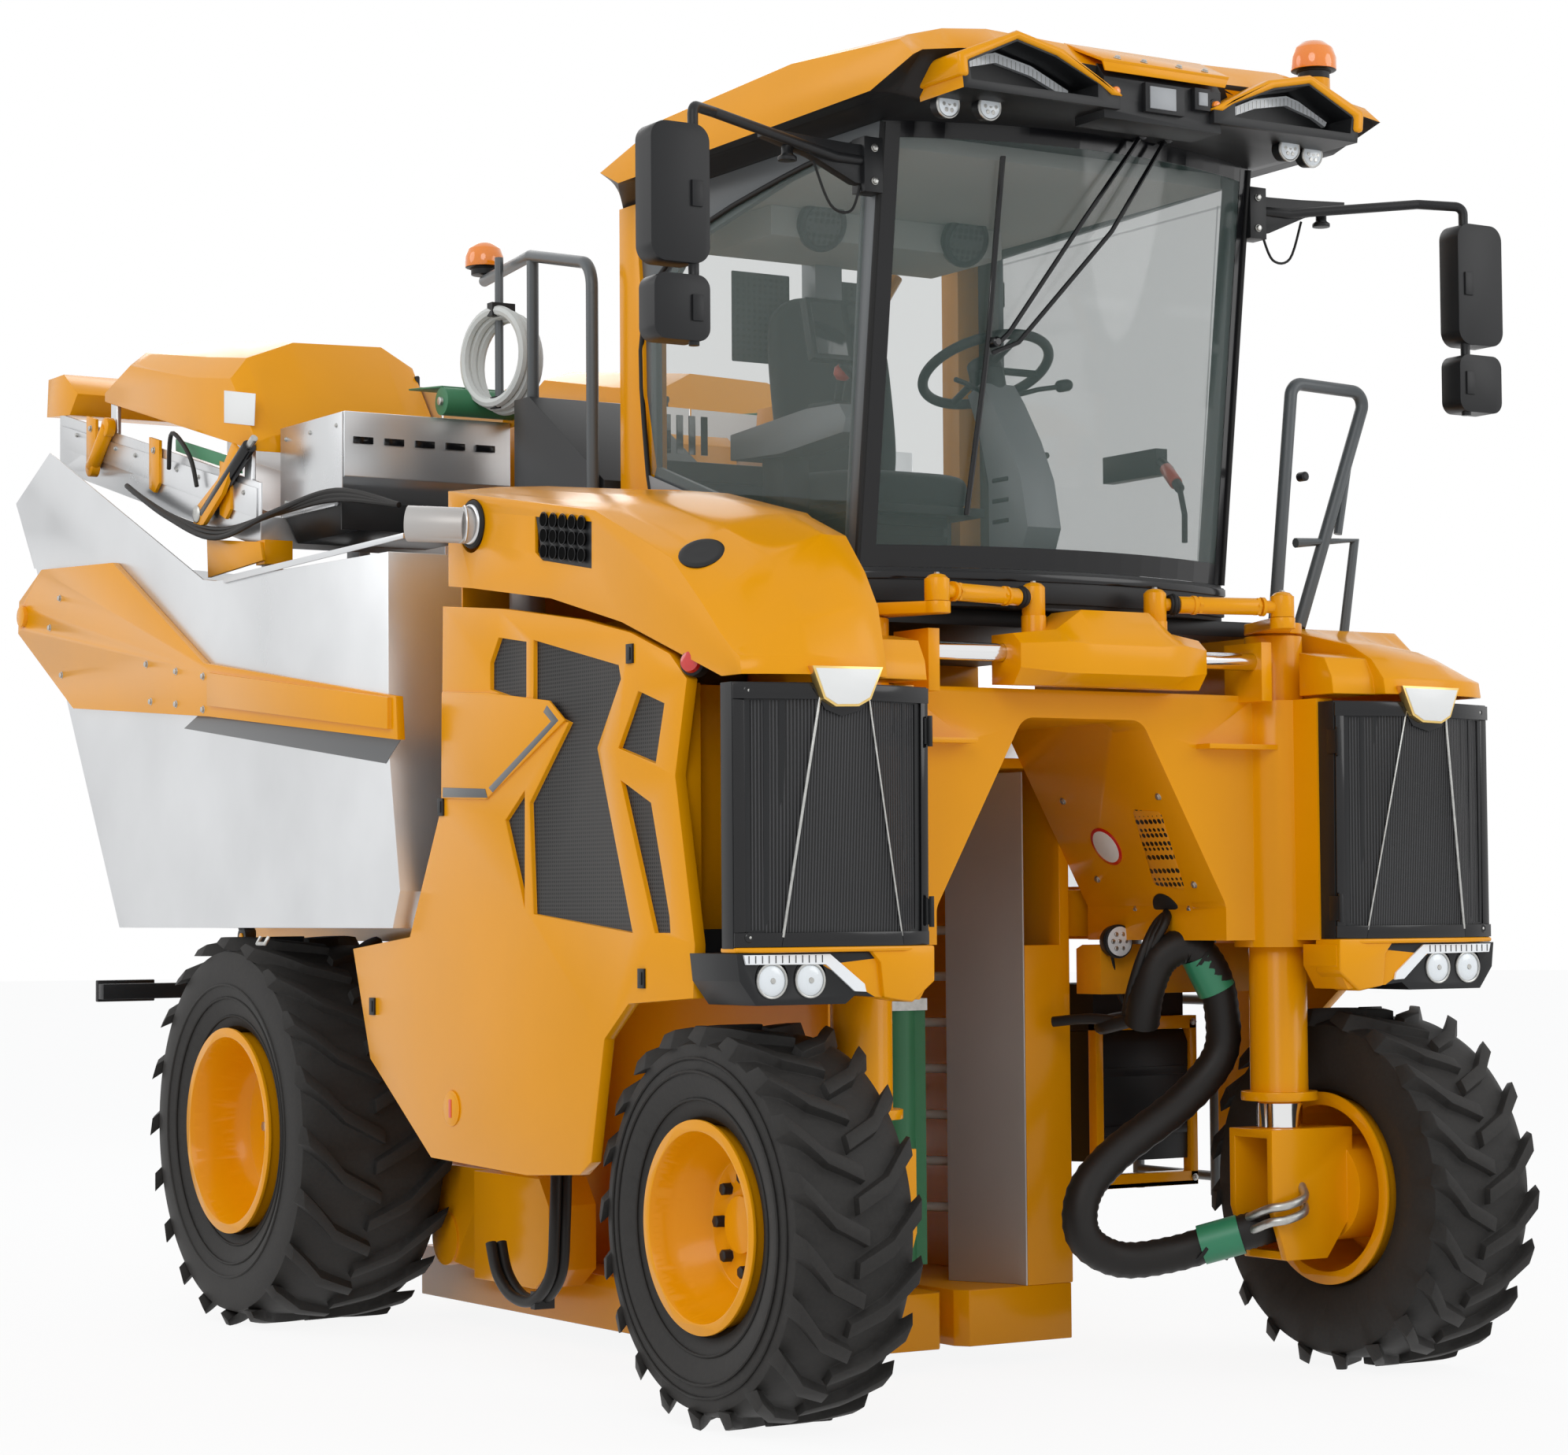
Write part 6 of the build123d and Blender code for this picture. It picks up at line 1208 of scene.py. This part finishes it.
# Arch panels: blank round sign, mesh patch and hose hole on the left, bolts on both sides
PANEL_WAY = (-0.87, 0.0, -0.49)
MESH_EDGE = ((186, 1607), (176, 1617), (73, 1609), (63, 1599), (109, 1396), (119, 1386), (229, 1400),
             (239, 1410))


def panel_at(d, z, off=0.0):
    """Point on the slanted inner panel of the arch, moved off it into the row."""
    return (401 + (1515 - z) * 0.565 + off * PANEL_WAY[0], d, z + off * PANEL_WAY[2])


for s, side in SIDES:
    port = Piece(f"arch_fittings_{side}", "white", "bolt", "mesh_yellow", "rubber", "red_lens", sign=s)
    port.bolts([panel_at(d, z) for d, z in ((491, 1650), (40, 1650), (500, 1420), (60, 1400), (380, 1330),
                                            (130, 1330))], PANEL_WAY, 9, 1)
    if side == "left":
        port.slab([panel_at(d, z, 2) for d, z in MESH_EDGE], 2, 2)
        # Blank sign with its red rim, then the hose hole
        port.lathe(panel_at(384, 1515), PANEL_WAY, [(0, 62), (3, 62)], 40, 4)
        port.lathe(panel_at(384, 1515, 3), PANEL_WAY, [(0, 52), (1, 52)], 40)
        port.lathe(panel_at(235, 1325), PANEL_WAY, [(-1, 58), (3, 58), (5, 50)], 32, 3)
        port.lathe(panel_at(235, 1325, 5), PANEL_WAY, [(0, 46), (0.6, 46)], 32, 3)
    port.done(slot="yellow", bevel=1)

# Steering: rubber rings and clamps on the tie rods, bolted caps over their ends
for s, side in SIDES:
    rings = Piece(f"tie_rod_fittings_{side}", "rubber", "bolt", "yellow", sign=s)
    way = (384, -92, 0)
    for share, radius in ((46 / 395, 23), (54 / 395, 26), (62 / 395, 23)):
        rings.hoop((210 + 384 * share, -100 - 92 * share, 2182), way, radius, 6, 8, 24)
    for share in (0.3, 0.34, 0.8, 0.84):
        rings.lathe((210 + 384 * share, -100 - 92 * share, 2182), way,
                    [(-5, 27), (5, 27)], 6 if share in (0.34, 0.8) else 24, 2)
    for x, d in ((210, -100), (594, -192)):
        rings.lathe((x, d, 2206), (0, 0, 1), [(0, 31), (8, 30), (16, 22), (20, 8)], 24, 2)
        rings.bolts([(x, d, 2224)], (0, 0, 1), 8, 1)
    rings.done(f"tie_rod_{side}", "yellow")
